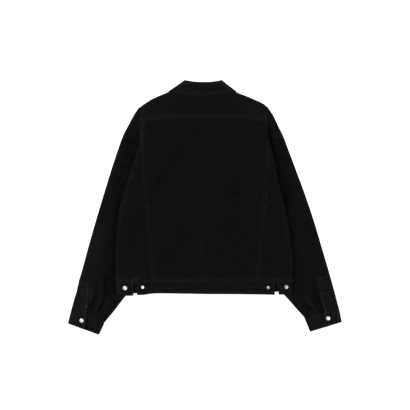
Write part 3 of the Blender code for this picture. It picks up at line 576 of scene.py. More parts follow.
def back_wear_and_painted_light(x, y):
    """Lightening of the back's sides, shoulders, hem and waistband slots, with painted light and shade."""
    # Painted light on the yoke just below the collar's edge, where the collar's shadow falls.
    light = 0.4 * bump(collar_edge(x) - y, 5) * ease((112 - from_neck(x)) / 8) + spots(x, y, BACK_SPOTS)
    edge = from_sides(x, y)
    paleness = np.where(x > 0, 0.26 * fall(y, 160, 40), lerp(0.42, 0.2, ease((-30 - y) / 50)))
    # Paler strips just inside the sides, and painted shade at the very edge, where the side turns down.
    light += paleness * bump(edge - 5, 7) * (1 + 0.5 * lumps(x, y, 14, 14)) - 0.2 * bump(edge, 3) * (y < 200)
    light += bump(edge, 7) * (x > 0) * (0.6 * bump(y - 270, 26) - 0.4 * bump(y - 222, 18))
    light += 0.12 * bump(edge, 26) * (x < 0) * (y < 20)
    light += 0.55 * bump(y - BAND_TOP - 2.5, 4)
    # In each slot a painted shadow line with a pale line beside it, and a lighter patch on the panel above.
    for slot, dark, pale, above in SLOT_TONES:
        light += 0.9 * bump(x - pale, 2) * (y < BAND_TOP) - 1.1 * bump(x - dark, 2.6) * ease((-228 - y) / 8)
        light += above * bump(x - sum(slot) / 2, 8) * bump(y - BAND_TOP - 2, 8)
    shoulder = through(x, TOP_X, BACK_TOP) - y
    return light + 0.6 * bump(shoulder, 7) * ease((from_neck(x) - 96) / 10)


def back_detail(x, y):
    """(height, lightening) that the creases, seams, wear and painted light and shade add to the back."""
    height, light = creases(x, y, BACK_CREASES)
    height = height + uneven(x, y, (0.3, 70, 3), (0.12, 24, 4))
    light = light + uneven(x, y, (0.05, 30, 5), (0.03, 9, 6))
    rise, tone_shift = back_seams(x, y)
    height = height * from_edges(x, y) * ease((y - BAND_TOP) / 30) + rise
    return height, light + tone_shift + back_wear_and_painted_light(x, y)


def back_top(x, y):
    """Top of the back's cloth, with its creases and seams."""
    return back_height(x, y) + back_detail(x, y)[0] + CLOTH


# %% [markdown]
# ## Cloth from a grid
#
# A piece is a grid of points. The faces join neighbours, a UV map holds the real distance along and
# across the cloth, so that the weave runs with each piece, and an attribute holds how much lighter or
# darker each point is: partly wear, partly painted light and shade. Solidify then gives the sheet its
# wall, exactly as thick as the solid's.

# %% Mesh helpers


def grid_faces(rows, columns):
    """The four-cornered faces that join neighbouring points of a grid."""
    index = np.arange(rows * columns).reshape(rows, columns)
    corners = [index[:-1, :-1], index[:-1, 1:], index[1:, 1:], index[1:, :-1]]
    return np.stack(corners, axis=-1).reshape(-1, 4)


def make_mesh(name, points_mm, faces):
    """A mesh from an array of points in millimetres and one of four-cornered faces."""
    mesh = bpy.data.meshes.new(name)
    count = len(faces)
    mesh.vertices.add(len(points_mm))
    mesh.vertices.foreach_set("co", (points_mm * MM).astype(np.float32).ravel())
    mesh.loops.add(count * 4)
    mesh.loops.foreach_set("vertex_index", faces.astype(np.int32).ravel())
    mesh.polygons.add(count)
    mesh.polygons.foreach_set("loop_start", np.arange(0, count * 4, 4, dtype=np.int32))
    mesh.update(calc_edges=True)
    mesh.validate()
    mesh.shade_smooth()
    return mesh


def place_object(name, data):
    """A new object in the scene."""
    made = bpy.data.objects.new(name, data)
    bpy.context.scene.collection.objects.link(made)
    return made


def piece(name, mesh, look, node=None):
    """An object of the jacket. With a node it takes the place of that solid."""
    made = place_object(name, mesh)
    made.data.materials.append(look)
    if node:
        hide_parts(node)
    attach(made, "root")
    return made


def along(grid, axis):
    """Distance run from the first row or column, along the cloth."""
    step = np.linalg.norm(np.diff(grid, axis=axis), axis=2)
    zero = np.zeros_like(np.take(step, [0], axis=axis))
    return np.concatenate([zero, np.cumsum(step, axis=axis)], axis=axis)


def cut_of(grid):
    """(width, length, area) of the flat cloth, in metres: its longest row and column, and its cells."""
    across = np.linalg.norm(np.diff(grid, axis=1), axis=2).sum(axis=1).max()
    up = np.linalg.norm(np.diff(grid, axis=0), axis=2).sum(axis=0).max()
    a, b = grid[1:, 1:] - grid[:-1, :-1], grid[1:, :-1] - grid[:-1, 1:]
    area = np.linalg.norm(np.cross(a, b), axis=2).sum() / 2
    return across * MM, up * MM, area * MM**2


def cloth(node, grid, tone, wall=CLOTH, offset=1, weld=False, flip=False):
    """The cloth of one CAD node: a grid of points, its tone, and a wall on one side of it."""
    if flip:
        grid, tone = grid[:, ::-1], tone[:, ::-1]
    mesh = make_mesh(node + "_cloth", grid.reshape(-1, 3), grid_faces(*grid.shape[:2]))
    uv = np.stack([along(grid, 1), along(grid, 0)], axis=-1).reshape(-1, 2) * MM
    layer = mesh.uv_layers.new(name="cloth")
    corner = np.empty(len(mesh.loops), np.int32)
    mesh.loops.foreach_get("vertex_index", corner)
    layer.data.foreach_set("uv", uv[corner].astype(np.float32).ravel())
    mesh.attributes.new("tone", "FLOAT", "POINT").data.foreach_set("value", tone.astype(np.float32).ravel())
    made = piece(node + "_cloth", mesh, DENIM, node)
    if weld:
        made.modifiers.new("join", "WELD").merge_threshold = 0.01 * MM
    thick = made.modifiers.new("wall", "SOLIDIFY")
    thick.thickness = wall * MM
    thick.offset = offset
    width, length, area = cut_of(grid)
    area = min(area, width * length)
    print(f"{node}: cut {width / MM:.0f} x {length / MM:.0f} mm, {area:.4f} m2, {len(mesh.polygons)} faces")
    return made


# %% [markdown]
# ## Denim
#
# Denim is a twill: dark warp threads pass over two or three pale weft threads, one step further along in
# each row, so the face shows fine diagonal ribs. Black overdyed denim keeps this only as a faint relief.
# A node group makes the ribs, slubs along the warp and a soft mottling, and each material sets its
# colour. Its sheen is kept very low, because a clean white surround would otherwise grey the black.

# %% Node helpers


def socket(group, name, kind, way, value=None):
    made = group.interface.new_socket(name, in_out=way, socket_type=kind)
    if value is not None:
        made.default_value = value
    return made


def connect(tree, node, inputs):
    """Fill inputs of a node, by name or number: a socket is wired, and anything else is its value."""
    for name, value in inputs.items():
        if isinstance(value, bpy.types.NodeSocket):
            tree.links.new(value, node.inputs[name])
        else:
            node.inputs[name].default_value = value


def add_node(tree, kind, inputs=(), **settings):
    """A new node with its settings and its inputs."""
    node = tree.nodes.new(kind)
    for key, value in settings.items():
        setattr(node, key, value)
    connect(tree, node, dict(inputs))
    return node


def math_node(tree, operation, *values, clamp=False):
    """The result of a Math node whose inputs are sockets or numbers."""
    settings = {"operation": operation, "use_clamp": clamp}
    return add_node(tree, "ShaderNodeMath", enumerate(values), **settings).outputs[0]


def add(tree, a, b, clamp=False):
    return math_node(tree, "ADD", a, b, clamp=clamp)


def times(tree, a, b, clamp=False):
    return math_node(tree, "MULTIPLY", a, b, clamp=clamp)


def noise(tree, vector, scale, detail=2.0):
    """A noise texture's value, about 0.5 in the mean."""
    inputs = {"Vector": vector, "Scale": scale, "Detail": detail}
    return add_node(tree, "ShaderNodeTexNoise", inputs).outputs["Fac"]


def mix_colour(tree, a, b, share):
    """Colour a where share is 0, and colour b where it is 1."""
    inputs = {"A": (*a, 1.0), "B": (*b, 1.0), "Factor": share}
    return add_node(tree, "ShaderNodeMix", inputs, data_type="RGBA").outputs["Result"]


def attribute(tree, name):
    return add_node(tree, "ShaderNodeAttribute", attribute_name=name).outputs["Fac"]


def object_place(tree):
    return add_node(tree, "ShaderNodeTexCoord").outputs["Object"]


def material(name, inputs):
    """A material, its node tree and its Principled shader, whose inputs get these values."""
    made = bpy.data.materials.new(name)
    made.use_nodes = True
    shader = made.node_tree.nodes["Principled BSDF"]
    connect(made.node_tree, shader, inputs)
    return made, made.node_tree, shader


# %% Twill as a node group
RIB_PITCH, RIB_LEAN, RIB_WOBBLE = 0.0011, 0.55, 0.0009  # metres, slope, metres
SLUB_STRETCH = (420.0, 26.0, 1.0)  # thin across the cloth and long along it


def twill_group():
    """Fade = mottling + slubs; Height = diagonal ribs + fine grain. The ribs are a sine of u + v."""
    tree = bpy.data.node_groups.new("denim_twill", "ShaderNodeTree")
    socket(tree, "Cloth", "NodeSocketVector", "INPUT")
    socket(tree, "Rib pitch", "NodeSocketFloat", "INPUT", RIB_PITCH)
    socket(tree, "Mottle", "NodeSocketFloat", "INPUT", 0.25)
    socket(tree, "Fade", "NodeSocketFloat", "OUTPUT")
    socket(tree, "Height", "NodeSocketFloat", "OUTPUT")
    inside, outside = add_node(tree, "NodeGroupInput"), add_node(tree, "NodeGroupOutput")
    place = inside.outputs["Cloth"]
    split = add_node(tree, "ShaderNodeSeparateXYZ", {0: place})
    stretched = add_node(tree, "ShaderNodeMapping", {"Vector": place, "Scale": SLUB_STRETCH})
    diagonal = add(tree, split.outputs["X"], times(tree, split.outputs["Y"], RIB_LEAN))
    diagonal = add(tree, diagonal, times(tree, noise(tree, place, 90.0), RIB_WOBBLE))
    phase = math_node(tree, "DIVIDE", diagonal, inside.outputs["Rib pitch"])
    ribs = math_node(tree, "SINE", times(tree, phase, math.tau))
    height = add(tree, times(tree, ribs, 0.5), noise(tree, place, 900.0))
    both = add(tree, noise(tree, stretched.outputs[0], 1.0), noise(tree, place, 70.0, 5.0))
    tone_shift = add(tree, math_node(tree, "SUBTRACT", both, 1.0), times(tree, ribs, 0.12))
    connect(tree, outside, {"Height": height, "Fade": times(tree, tone_shift, inside.outputs["Mottle"])})
    return tree


TWILL = twill_group()
TONE_RANGE = 8  # the palest cloth is this many times as light as plain cloth at tone 0


def denim(name, dark, pale, mottle):
    """Dark cloth, paler with the tone attribute (wear, painted light and shade) and the twill's mottling.
    """
    made, tree, shader = material(name, {"Roughness": 0.95, "Specular IOR Level": 0.015})
    uv = add_node(tree, "ShaderNodeUVMap", uv_map="cloth").outputs[0]
    twill = add_node(tree, "ShaderNodeGroup", node_tree=TWILL)
    connect(tree, twill, {"Mottle": mottle, "Cloth": uv})
    tone_shift = add(tree, attribute(tree, "tone"), twill.outputs["Fade"])
    share = add(tree, times(tree, tone_shift, 1 / TONE_RANGE), 1 / TONE_RANGE, clamp=True)
    relief = {"Strength": 0.35, "Distance": 0.0003, "Height": twill.outputs["Height"]}
    normal = add_node(tree, "ShaderNodeBump", relief).outputs[0]
    connect(tree, shader, {"Base Color": mix_colour(tree, dark, pale, share), "Normal": normal})
    return made


# The mix is 0 at tone -1 and 1 at tone 7, so plain cloth (tone 0) lies an eighth of the way up.
BLACK = np.array((0.0036, 0.0036, 0.0038))
DENIM = denim("black_denim", (0.0, 0.0, 0.0), tuple(BLACK * TONE_RANGE), 0.35)
print("denim made, with the twill on each piece's own UV map")

# %% [markdown]
# ## Back panels and yoke
#
# The middle panel runs from the yoke seam to the waistband between two seams that lean inwards, and a
# side panel fills each armhole curve. The columns of each grid follow the seams, so that a felled strip
# is never cut across by a cell, and they are closer together beside a seam.

# %% Back panels


def seam_shift(x, columns):
    """x, moved in at each back seam by half of its gap."""
    shifted = x.copy()
    shifted[:, 0] += BENT_SEAM / 2 * (columns[0] > 0)
    shifted[:, -1] -= BENT_SEAM / 2 * (columns[-1] < COLUMNS)
    return shifted


def steps(*stops):
    """Values from stop to stop: each stop after the first is (value, cells)."""
    values = [np.array([stops[0]], float)]
    for value, cells in stops[1:]:
        values.append(np.linspace(values[-1][-1], value, cells + 1)[1:])
    return np.concatenate(values)


def back_panel(node, columns, rows):
    """A panel or the yoke, over part of the shared grid."""
    x, y = body_plan(columns, rows, BACK_TOP)
    height, light = back_detail(x, y)
    z = back_height(x, y) + height
    if rows[-1] == PANEL_ROWS:
        y[-1] -= SEAM / 2
    if rows[0] == PANEL_ROWS:
        y[0] += SEAM / 2
    grid = np.stack([seam_shift(x, columns), y, z], axis=-1)
    return cloth(node, grid, light)


FAR_SIDE = COLUMNS - SIDE_COLUMNS
panel_rows = steps(0.0, (1.0, 5), (3.0, 14), (22.6, 190), (PANEL_ROWS, 6))
near_seam = SIDE_COLUMNS - steps(0.0, (0.75, 16), (SIDE_COLUMNS, 24))[::-1]
back_panel("back_centre", steps(SIDE_COLUMNS, (FAR_SIDE, 150)), panel_rows)
back_panel("back_side_left", near_seam, panel_rows)
back_panel("back_side_right", (COLUMNS - near_seam)[::-1], panel_rows)
yoke_columns = steps(0.0, (SIDE_COLUMNS, 10), (FAR_SIDE, 130), (COLUMNS, 10))
back_panel("back_yoke", yoke_columns, PANEL_ROWS + steps(0.0, (0.9, 20), (YOKE_ROWS, 24)))

# %% [markdown]
# ## Fronts
#
# The fronts lie face down, so little of them is ever seen. They are plain lapped panels with a row of
# buttons, which is what a jacket of this kind must have.

# %% Front panels


def front_panel(node, columns, over):
    """One front, from its side to just past the middle. The right one laps over."""
    x, y = body_plan(columns, np.linspace(0, PANEL_ROWS + YOKE_ROWS, 120), FRONT_TOP)
    tone = uneven(x, y, (0.1, 40, 21), (0.05, 12, 22))
    return cloth(node, np.stack([x, y, front_height(x, y, over)], axis=-1), tone)


MIDDLE = COLUMNS // 2
front_panel("front_left", np.linspace(0, MIDDLE + FRONT_OVERLAP, 60), over=False)
front_panel("front_right", np.linspace(MIDDLE - FRONT_OVERLAP, COLUMNS, 60), over=True)

# %% [markdown]
# ## Waistband and tabs
#
# The band is doubled cloth over the panels' hem. It is cut short of each side, and a tab, held by its own
# button, closes the side over a small gap, so that the waist can be let out.

# %% Waistbands


BAND_ROWS = steps(0.0, (1.0, 22))
BAND_STITCHES = (2.2, 2.4)  # rows of stitches, down from the top edge and up from the bottom
SLOT_STITCH = 2.2  # row of stitches beside a slot
AT_SIDE = 260.0  # an end that is further out than this follows the body's side
SIDE_FEET = ((LEFT_EDGE, -268.0), (RIGHT_EDGE, -266.0))  # the body's sides, and where the band meets them
BAND_SPOTS = (
    # across, up, half width, half height, lightening
    (-221, BAND_TOP - SEAM - 8, 6, 8, 0.7),
    (211, BAND_TOP - SEAM - 8, 6, 8, 0.35),
)
BUTTONS = (
    # node, across, up, radius, depth
    ("waist_button_left_large", -242.6, -245.3, BUTTON_RADIUS, BUTTON_DEPTH),
    ("waist_button_left_small", -189.5, -242.9, SMALL_RADIUS, SMALL_DEPTH),
    ("waist_button_right_small", 192.8, -244.0, SMALL_RADIUS, SMALL_DEPTH),
    ("waist_button_right_large", 247.5, -242.1, BUTTON_RADIUS, BUTTON_DEPTH),
)


def band_bottom(x):
    return through(x, BAND_X, BAND_BOTTOM)


def band_base(x, y):
    """Underside of the back waistband: it lies on the panels, and hangs level below their hem."""
    return back_height(x, np.maximum(y, panel_hem(x))) + CLOTH + BENT_SEAM


def clear_of_buttons(x, y):
    """0 under the waistband's buttons and 1 a little way off them."""
    away = [np.hypot(x - bx, y - by) - radius for _, bx, by, radius, _ in BUTTONS]
    return ease((np.min(away, axis=0) - 2) / 12)


def band_detail(x, y):
    """(height, lightening) of the waistband: rolled edges, rows of stitches and long flat puckers."""
    top, bottom = BAND_TOP - SEAM - y, y - band_bottom(x)
    streak = np.sin((y + 0.13 * x) / 1.4 + 1.4 * np.sin(x / 37.0))
    streak = streak * (0.4 + 0.25 * np.sin(x / 21.0 + 1) + 0.6 * bump(x + 140, 60))
    middle = ease(top / 6) * ease(bottom / 6)
    height = 0.2 * streak * middle * clear_of_buttons(x, y)
    height -= 0.45 * bump(top, 1.4) + 0.45 * bump(bottom, 1.4)
    light = 0.34 + (0.42 + 0.4 * bump(x + 90, 90)) * bump(top - 0.5, 4)
    light += 0.5 * bump(bottom - 2.4, 3.2) - 0.15 * bump(top - 12, 6)
    light += spots(x, y, BAND_SPOTS) + uneven(x, y, (0.1, 13, 31), (0.06, 5, 32))
    # the puckers are painted lighter and darker with their rise: painted light and shade
    light += 0.26 * streak * middle + 0.3 * bump(x + 262, 9)
    for away, row in zip((top, bottom), BAND_STITCHES):
        light += 0.12 * pucker(x, away, row)
    return height, light


def band_piece(node, left, right, cells):
    """The back waistband or a tab. An end at the body's side follows it, and one at a slot is turned in."""
    x, t = np.meshgrid(np.linspace(left, right, cells + 1), BAND_ROWS)
    ends = [left, right]
    for k, (line, foot) in enumerate(SIDE_FEET):
        if abs(ends[k]) > AT_SIDE:
            ends[k] = lerp(edge_x(np.array(foot), line), edge_x(np.array(BAND_TOP), line), t)
    x = lerp(*ends, (x - left) / (right - left))
    y = lerp(band_bottom(x), BAND_TOP - SEAM, t)
    height, light = band_detail(x, y)
    for end in (left, right):
        if abs(end) < AT_SIDE:
            light += 0.9 * bump(np.abs(x - end) - SLOT_STITCH, 2.0)
            height -= 0.4 * bump(x - end, 1.2)
    grid = np.stack([x, y, band_base(x, y) + height], axis=-1)
    return cloth(node, grid, light, DOUBLED)


band_piece("waist_tab_left", -270.0, LEFT_SLOT[0], 40)
band_piece("waist_tab_right", RIGHT_SLOT[1], 267.0, 36)
band_piece("waistband_back", LEFT_SLOT[1], RIGHT_SLOT[0], 260)


def front_band(node, columns, middle_side):
    """A doubled band along a front's hem. The two meet at the middle."""
    x, y = body_plan(columns, np.linspace(0, 2, 14), FRONT_TOP)
    y[-1] -= SEAM
    x[:, middle_side] += SEAM / 2 * (-1 if middle_side else 1)
    tone = 0.1 + 0.1 * lumps(x, y, 13, 33)
    return cloth(node, np.stack([x, y, ground(x, y)], axis=-1), tone, DOUBLED)


front_band("waistband_front_left", np.linspace(0, MIDDLE + FRONT_OVERLAP, 80), -1)
front_band("waistband_front_right", np.linspace(MIDDLE + FRONT_OVERLAP, COLUMNS, 72), 0)

# %% [markdown]
# ## Sleeves
#
# A sleeve is a flattened tube. Above the armpit its rows are open and end at the armhole, and from there
# down they close in a fold that is tucked under the body. Beside the body's edge the cloth drops into a
# dip that is painted dark as painted shade, and it wrinkles where the cuff gathers it.

# %% Sleeves
TOP_CELLS, FOLD_CELLS, LOW_CELLS = 56, 6, 24
FREE_EASE = 34  # strip beside the body in which the sleeve comes free of it
LOFT_EASE, LOFT_FOOT = 36, (-205, 45)  # strip along an edge, and height, in which the loft grows
ARMHOLE_EASE, ARMHOLE_FOOT = 40, (12, 9)  # where the top meets the back's edge
ARMPIT_FOOT = (-80, 60)  # height from which a tucked sleeve fills the space under the body's side
NO_ARMHOLE = -999.0  # in place of the armhole's height, below the armpit


def body_side(y, side):
    return edge_x(y, LEFT_EDGE if side < 0 else RIGHT_EDGE)


def sleeve_section(length, closed):
    """A flat sleeve cut across. Distance from the outer edge, how far round the outer fold (0 to 1),
    and how far round the inner one."""
    r = SLEEVE_FOLD
    turn = np.linspace(0, math.pi / 2, 4)[1:-1]
    lower = np.linspace(length - r, r, LOW_CELLS + 1)
    upper = np.linspace(r, length - r, TOP_CELLS + 1)
    angles = np.linspace(0, math.pi, FOLD_CELLS + 1)[1:-1]
    ends = length - r + r * np.cos(turn)
    away = np.concatenate([[length], ends, lower, r - r * np.sin(angles), upper, ends[::-1], [length]])
    before, after = 1 + len(turn) + len(lower), len(upper) + len(turn) + 1
    outer = np.concatenate([np.zeros(before), angles / math.pi, np.ones(after)])
    inner = np.zeros(len(away))
    if closed:
        quarter = np.concatenate([[0.5], 0.5 - turn / math.pi])
        inner[: len(quarter)] = quarter
        inner[-len(quarter) :] = -quarter[::-1]
    return away, outer, inner


def above_cuff(x, y, side):
    """Distance up the sleeve from the cuff's seam."""
    (x0, y0), (x1, y1) = (CUFF_LEFT if side < 0 else CUFF_RIGHT)[:2]
    return side * ((x - x0) * (y1 - y0) - (y - y0) * (x1 - x0)) / math.hypot(x1 - x0, y1 - y0)


def sleeve_shade(x, y, side, beside, below, outer_away):
    """Painted shade in the dip beside the body: broad on the left, narrow and deep on the right."""
    beside, beside_body = np.maximum(beside, 0), ease((6 - below) / 8)
    # painted light on the sleeve just below each tab, where the tab's shadow would fall
    painted_light_by_tab = 0.7 * bump(below - 3, 6) * bump(beside, 8)
    if side < 0:
        painted_hollow_shade = (0.3 * bump(beside - 1.5, 9) + 0.22 * bump(beside, 30)) * ease((240 - y) / 25)
        painted_hollow_shade = painted_hollow_shade + 0.12 * bump(beside - 24, 16) * bump(y - 137, 30)
        head_tone = 0.24 * ease((y - 238) / 12) * bump(beside, 8) - 0.1 * bump(y - 250, 45)
        pale = 0.3 * ease((-y - 10) / 70) * (1 - ease((outer_away - 34) / 26))
        pale = pale + 0.6 * bump(x + 352 + 0.09 * (y + 262), 4.5) * bump(y + 264, 26)
        return head_tone + pale + painted_light_by_tab - painted_hollow_shade * beside_body
    low = ease((-y - 60) / 60)
    painted_hollow_shade = lerp(0.42, 0.25, low) + 0.2 * bump(y - 210, 35)
    narrow = bump(beside - 1.5, lerp(7, 5, low))
    upper = ease((y + 30) / 30) * ease((225 - y) / 20)
    wide = 0.12 * bump(beside, 26) + upper * (0.3 * bump(beside - 8, 9) + 0.1 * bump(beside - 30, 22))
    # painted shade deepening the dip at the right armhole
    armhole = 0.3 * bump(beside, 12) * bump(y - 226, 26)
    return painted_light_by_tab - armhole - (painted_hollow_shade * narrow + wide) * ease((262 - y) / 22) * beside_body


def sleeve_top(x, y, side, outer_away, inner_away, armhole_y):
    """Top of a sleeve's upper layer, and its lightening."""
    beside, below = (body_side(y, side) - x) * -side, BAND_BOTTOM.min() - y
    free = np.maximum(beside, below)
    outside = ease(free / FREE_EASE)
    loft = ease(outer_away / LOFT_EASE) * ease(inner_away / LOFT_EASE) * (1 - fall(y, *LOFT_FOOT))
    edge = back_height(body_side(y, side), y) + CLOTH
    near_inner = fall(inner_away, 0, ARMHOLE_EASE)
    flat = lerp(SLEEVE_FLAT, SLEEVE_LIFT - SEAM, near_inner * (1 - fall(y, *ARMPIT_FOOT)))
    sewn = near_inner * (1 - fall(armhole_y, *ARMHOLE_FOOT))
    rise, light = creases(x, y, SLEEVE_CREASES)
    shown = ease(free / 10) * ease(outer_away / 12) * ease(inner_away / 12)
    small = uneven(x, y, (0.25, 46, 41), (0.1, 18, 42)) * (1 - 0.6 * ease((-y - 200) / 50))
    rise = np.where(rise > 0, rise * 0.15, rise * 0.55) + small
    light = light + sleeve_shade(x, y, side, beside, below, outer_away)
    # a pale line along the cuff's seam: painted light over the shadow of the step up to the cuff
    light += 0.45 * bump(above_cuff(x, y, side), 4)
    rims = 0.6 * bump(outer_away, 7) + 0.5 * bump(inner_away, 6) * ease((-255 - y) / 15)
    light += rims * (1 + 0.5 * lumps(x, y, 11, 43))
    light += uneven(x, y, (0.08, 34, 44), (0.05, 10, 45)) + 0.05
    top = lerp(flat + SLEEVE_LOFT * outside * loft, edge, sewn) + fold_relief(x, y) * outside
    return top + rise * shown * (1 - sewn), light


def sleeve_row(side, outer, inner, closed):
    """One row round a sleeve: its points, and its lightening."""
    length = math.hypot(*(inner - outer))
    away, outer_turn, inner_turn = sleeve_section(length, closed)
    x, y = lerp(outer, inner, (away / length)[:, None]).T
    top, light = sleeve_top(x, y, side, away, length - away, NO_ARMHOLE if closed else inner[1])
    level = (1 - np.cos(outer_turn * math.pi)) / 2
    low_fold = (1 - np.cos(inner_turn * math.pi)) / 2
    level = np.where(inner_turn > 0, low_fold, level)
    level = np.where(inner_turn < 0, 1 - low_fold, level)
    light = np.where(outer_turn < 0.01, 0.08 * lumps(x, y, 34, 46), light)
    return np.column_stack([x, y, level * top]), light


def sleeve(node, side):
    """Open rows down the armhole, then closed ones from the armpit to the cuff."""
    outer_edge, arm = (OUTER_LEFT, ARM_LEFT) if side < 0 else (OUTER_RIGHT, ARM_RIGHT)
    rows = np.linspace(SHOULDER_ROW, ARMPIT_ROW, 88)
    armhole_x, armhole_y = body_plan((0 if side < 0 else COLUMNS,), rows, BACK_TOP)
    armhole = np.column_stack([armhole_x + ARMHOLE_GAP * side, armhole_y])
    outer_y = through(armhole[:, 1], CROWN[:, 0], CROWN[:, 1])
    pairs = [(y, point, False) for y, point in zip(outer_y, armhole)]
    pairs[-1] = (*pairs[-1][:2], True)
    keys = np.vstack([[outer_y[-1], *armhole[-1]], arm])
    for station in np.linspace(0, len(arm), 130)[1:]:
        y, ix, iy = (through(station, np.arange(len(keys)), keys[:, k]) for k in range(3))
        pairs.append((y, np.array([ix, iy]), True))
    rows = []
    for y, inner, closed in pairs:
        outer = np.array([through(y, outer_edge[:, 0], outer_edge[:, 1]), y])
        rows.append(sleeve_row(side, outer, inner, closed))
    grid, tone = (np.array(part) for part in zip(*rows))
    return cloth(node, grid, tone, CLOTH, -1, weld=True, flip=side < 0)


sleeve("sleeve_left", -1)
sleeve("sleeve_right", 1)

# %% [markdown]
# ## Plackets and cuffs
#
# A slit runs up each sleeve from the cuff and is edged with a sewn strip, the placket. The cuff is a
# doubled band that laps over itself at the slit and closes with one button.

# %% Plackets
PLACKET_WIDTH, PLACKET_LENGTH = 36.0, 98.0  # for its pale rims, painted as highlight


def unit(start, end):
    """The direction from one point to another."""
    return (end - start) / np.hypot(*(end - start))


def placket(node, corners, side):
    """The sewn strip along a sleeve's slit, with pale rims: painted highlight on its raised edges."""
    outer_top, inner_top, inner_low, outer_low = np.array(corners)
    to_cuff = unit(inner_top, inner_low) * PLACKET_REACH
    inner_low, outer_low = inner_low + to_cuff, outer_low + to_cuff
    across, up = np.meshgrid(np.linspace(0, 1, 25), np.linspace(0, 1, 60))
    ends = [lerp(a, b, across[..., None]) for a, b in ((outer_low, inner_low), (outer_top, inner_top))]
    plan = lerp(*ends, up[..., None])
    bow = PLACKET_BOW * across * 4 * up * (1 - up)
    x, y = plan[..., 0] - side * (2.2 * (1 - across) + bow), plan[..., 1]
    rim = [across * PLACKET_WIDTH, (1 - across) * PLACKET_WIDTH, (1 - up) * PLACKET_LENGTH]
    z = SLEEVE_FLAT + PLACKET_CLEAR + 0.25 * ease(np.minimum.reduce(rim) / 3) + 0.06 * lumps(x, y, 12, 51)
    light = 0.3 + uneven(x, y, (0.16, 14, 52), (0.1, 6, 53)) + 0.4 * bump(up * PLACKET_LENGTH, 4)
    light += 0.5 * bump(rim[1] - 2, 2.2) + 0.4 * bump(rim[2] - 3, 5) + 0.25 * bump(rim[0], 5)
    light += 0.8 * bump(rim[1] - 2, 4) * bump(rim[2] - 4, 5)
    if side > 0:
        # painted highlight along the raised inner edge; across the strip, a fold painted as highlight
        # beside shade
        light += 0.15 + 1.7 * bump(rim[1] - 1.5, 2.2) * ease((-262 - y) / 20)
        light += 0.4 * bump(y + 244.5, 3) - 0.55 * bump(y + 252.4, 3.2) * ease(rim[0] / 8)
    else:
        # painted highlight along the raised inner edge
        light += 0.4 + 0.5 * bump(rim[1] - 2, 2.6) + 1.0 * bump(rim[1], 4) * bump(y + 262, 26)
    grid = np.stack([x, y, z], axis=-1)
    return cloth(node, grid, light, flip=side > 0)


placket("sleeve_placket_left", PLACKET_LEFT, -1)
placket("sleeve_placket_right", PLACKET_RIGHT, 1)

# %% Cuffs
CUFF_DEPTH = 38.0  # from the seam to the open end


def cuff_path(length, lap):
    """A cuff seen end on: from its hidden underlap, round the inner fold, along the surface, round the
    outer fold and over to the lapped end. Distance from the outer edge, and height."""
    inner, outer = (CUFF_MID - CUFF_LOW) / 2, (CUFF_HIGH - CUFF_LOW) / 2
    inner_at, outer_at = length - inner - DOUBLED / 2, outer + DOUBLED / 2
    turn = np.linspace(0, math.pi, 9)[1:-1]
    parts = (
        (np.linspace(lap - CUFF_UNDERLAP, inner_at, 30), np.full(30, CUFF_MID)),
        (inner_at + inner * np.sin(turn), CUFF_LOW + inner * (1 + np.cos(turn))),
        (np.linspace(inner_at, outer_at, 20), np.full(20, CUFF_LOW)),
        (outer_at - outer * np.sin(turn), CUFF_LOW + outer * (1 - np.cos(turn))),
        (np.linspace(outer_at, lap, 30), np.full(30, CUFF_HIGH)),
    )
    away, height = (np.concatenate([part[k] for part in parts]) for k in (0, 1))
    return away, height, np.arange(len(away)) >= len(away) - 34


def cuff_tone(x, y, side, away, down, lap, upper):
    """Lightening of a cuff: its stitched rims, the lapped end, and painted shadow in the slit beside it."""
    light = 0.48 + 0.1 * (side > 0) + uneven(x, y, (0.18, 13, 61), (0.1, 5, 62))
    light = light + 0.4 * bump(down - 2.0, 2.6) + 0.4 * bump(CUFF_DEPTH - down - 2.6, 3)
    light = light + 1.3 * bump(lap - away - 2.8, 2.6) * upper + bump(away, 8)
    light = light + 0.6 * bump(away, 14) * bump(down - 4, 16)
    # painted shadow in the slit beside the lap
    slit = 1.3 * bump(away - lap - 3, 4.5) if side < 0 else 0.8 * bump(away - lap - 1.5, 3.5)
    return np.where(upper | (away > lap + 2), light - slit * ~upper, 0.0)


def cuff(node, corners, side):
    """A doubled band, lapped over itself, from its seam to its open end."""
    seam_out, seam_in, end_out, end_in = np.array(corners)
    rows = []
    for part in steps(0.0, (1.0, 22)):
        out, inside = lerp(seam_out, end_out, part), lerp(seam_in, end_in, part)
        length = np.hypot(*(inside - out))
        lap = length * lerp(*CUFF_LAP, part)
        away, height, upper = cuff_path(length, lap)
        plan = lerp(out, inside, (away / length)[:, None])
        if part == 0:
            plan += SEAM * unit(seam_out, end_out)
        down = part * CUFF_DEPTH
        puff = 0.3 * ease(down / 5) * ease((CUFF_DEPTH - down) / 5)
        points = np.column_stack([plan, height + puff * upper * ease(away / 6)])
        rows.append((points, cuff_tone(*plan.T, side, away, down, lap, upper)))
    grid, tone = (np.array(part) for part in zip(*rows))
    return cloth(node, grid, tone, DOUBLED, 0, flip=side > 0)


cuff("cuff_left", CUFF_LEFT, -1)
cuff("cuff_right", CUFF_RIGHT, 1)

# %% [markdown]
# ## Collar
#
# The collar is one folded strip. Its stand rises from the neck seam, the roll turns it over, and the fall
# comes back down over the yoke. Seen from above it is a loop pressed flat: the back of the neck on top,
# and the two leaves underneath, where they meet the fronts.

# %% Collar
LEAF_WAY = (0.837, 0.547)  # direction in which the left leaf's roll faces
LEAF_POINTS, TURN_POINTS, BACK_POINTS = 30, 9, 90  # along a leaf, its fold and the back of the neck
FALL_DEPTH = 36  # from the roll to the free edge


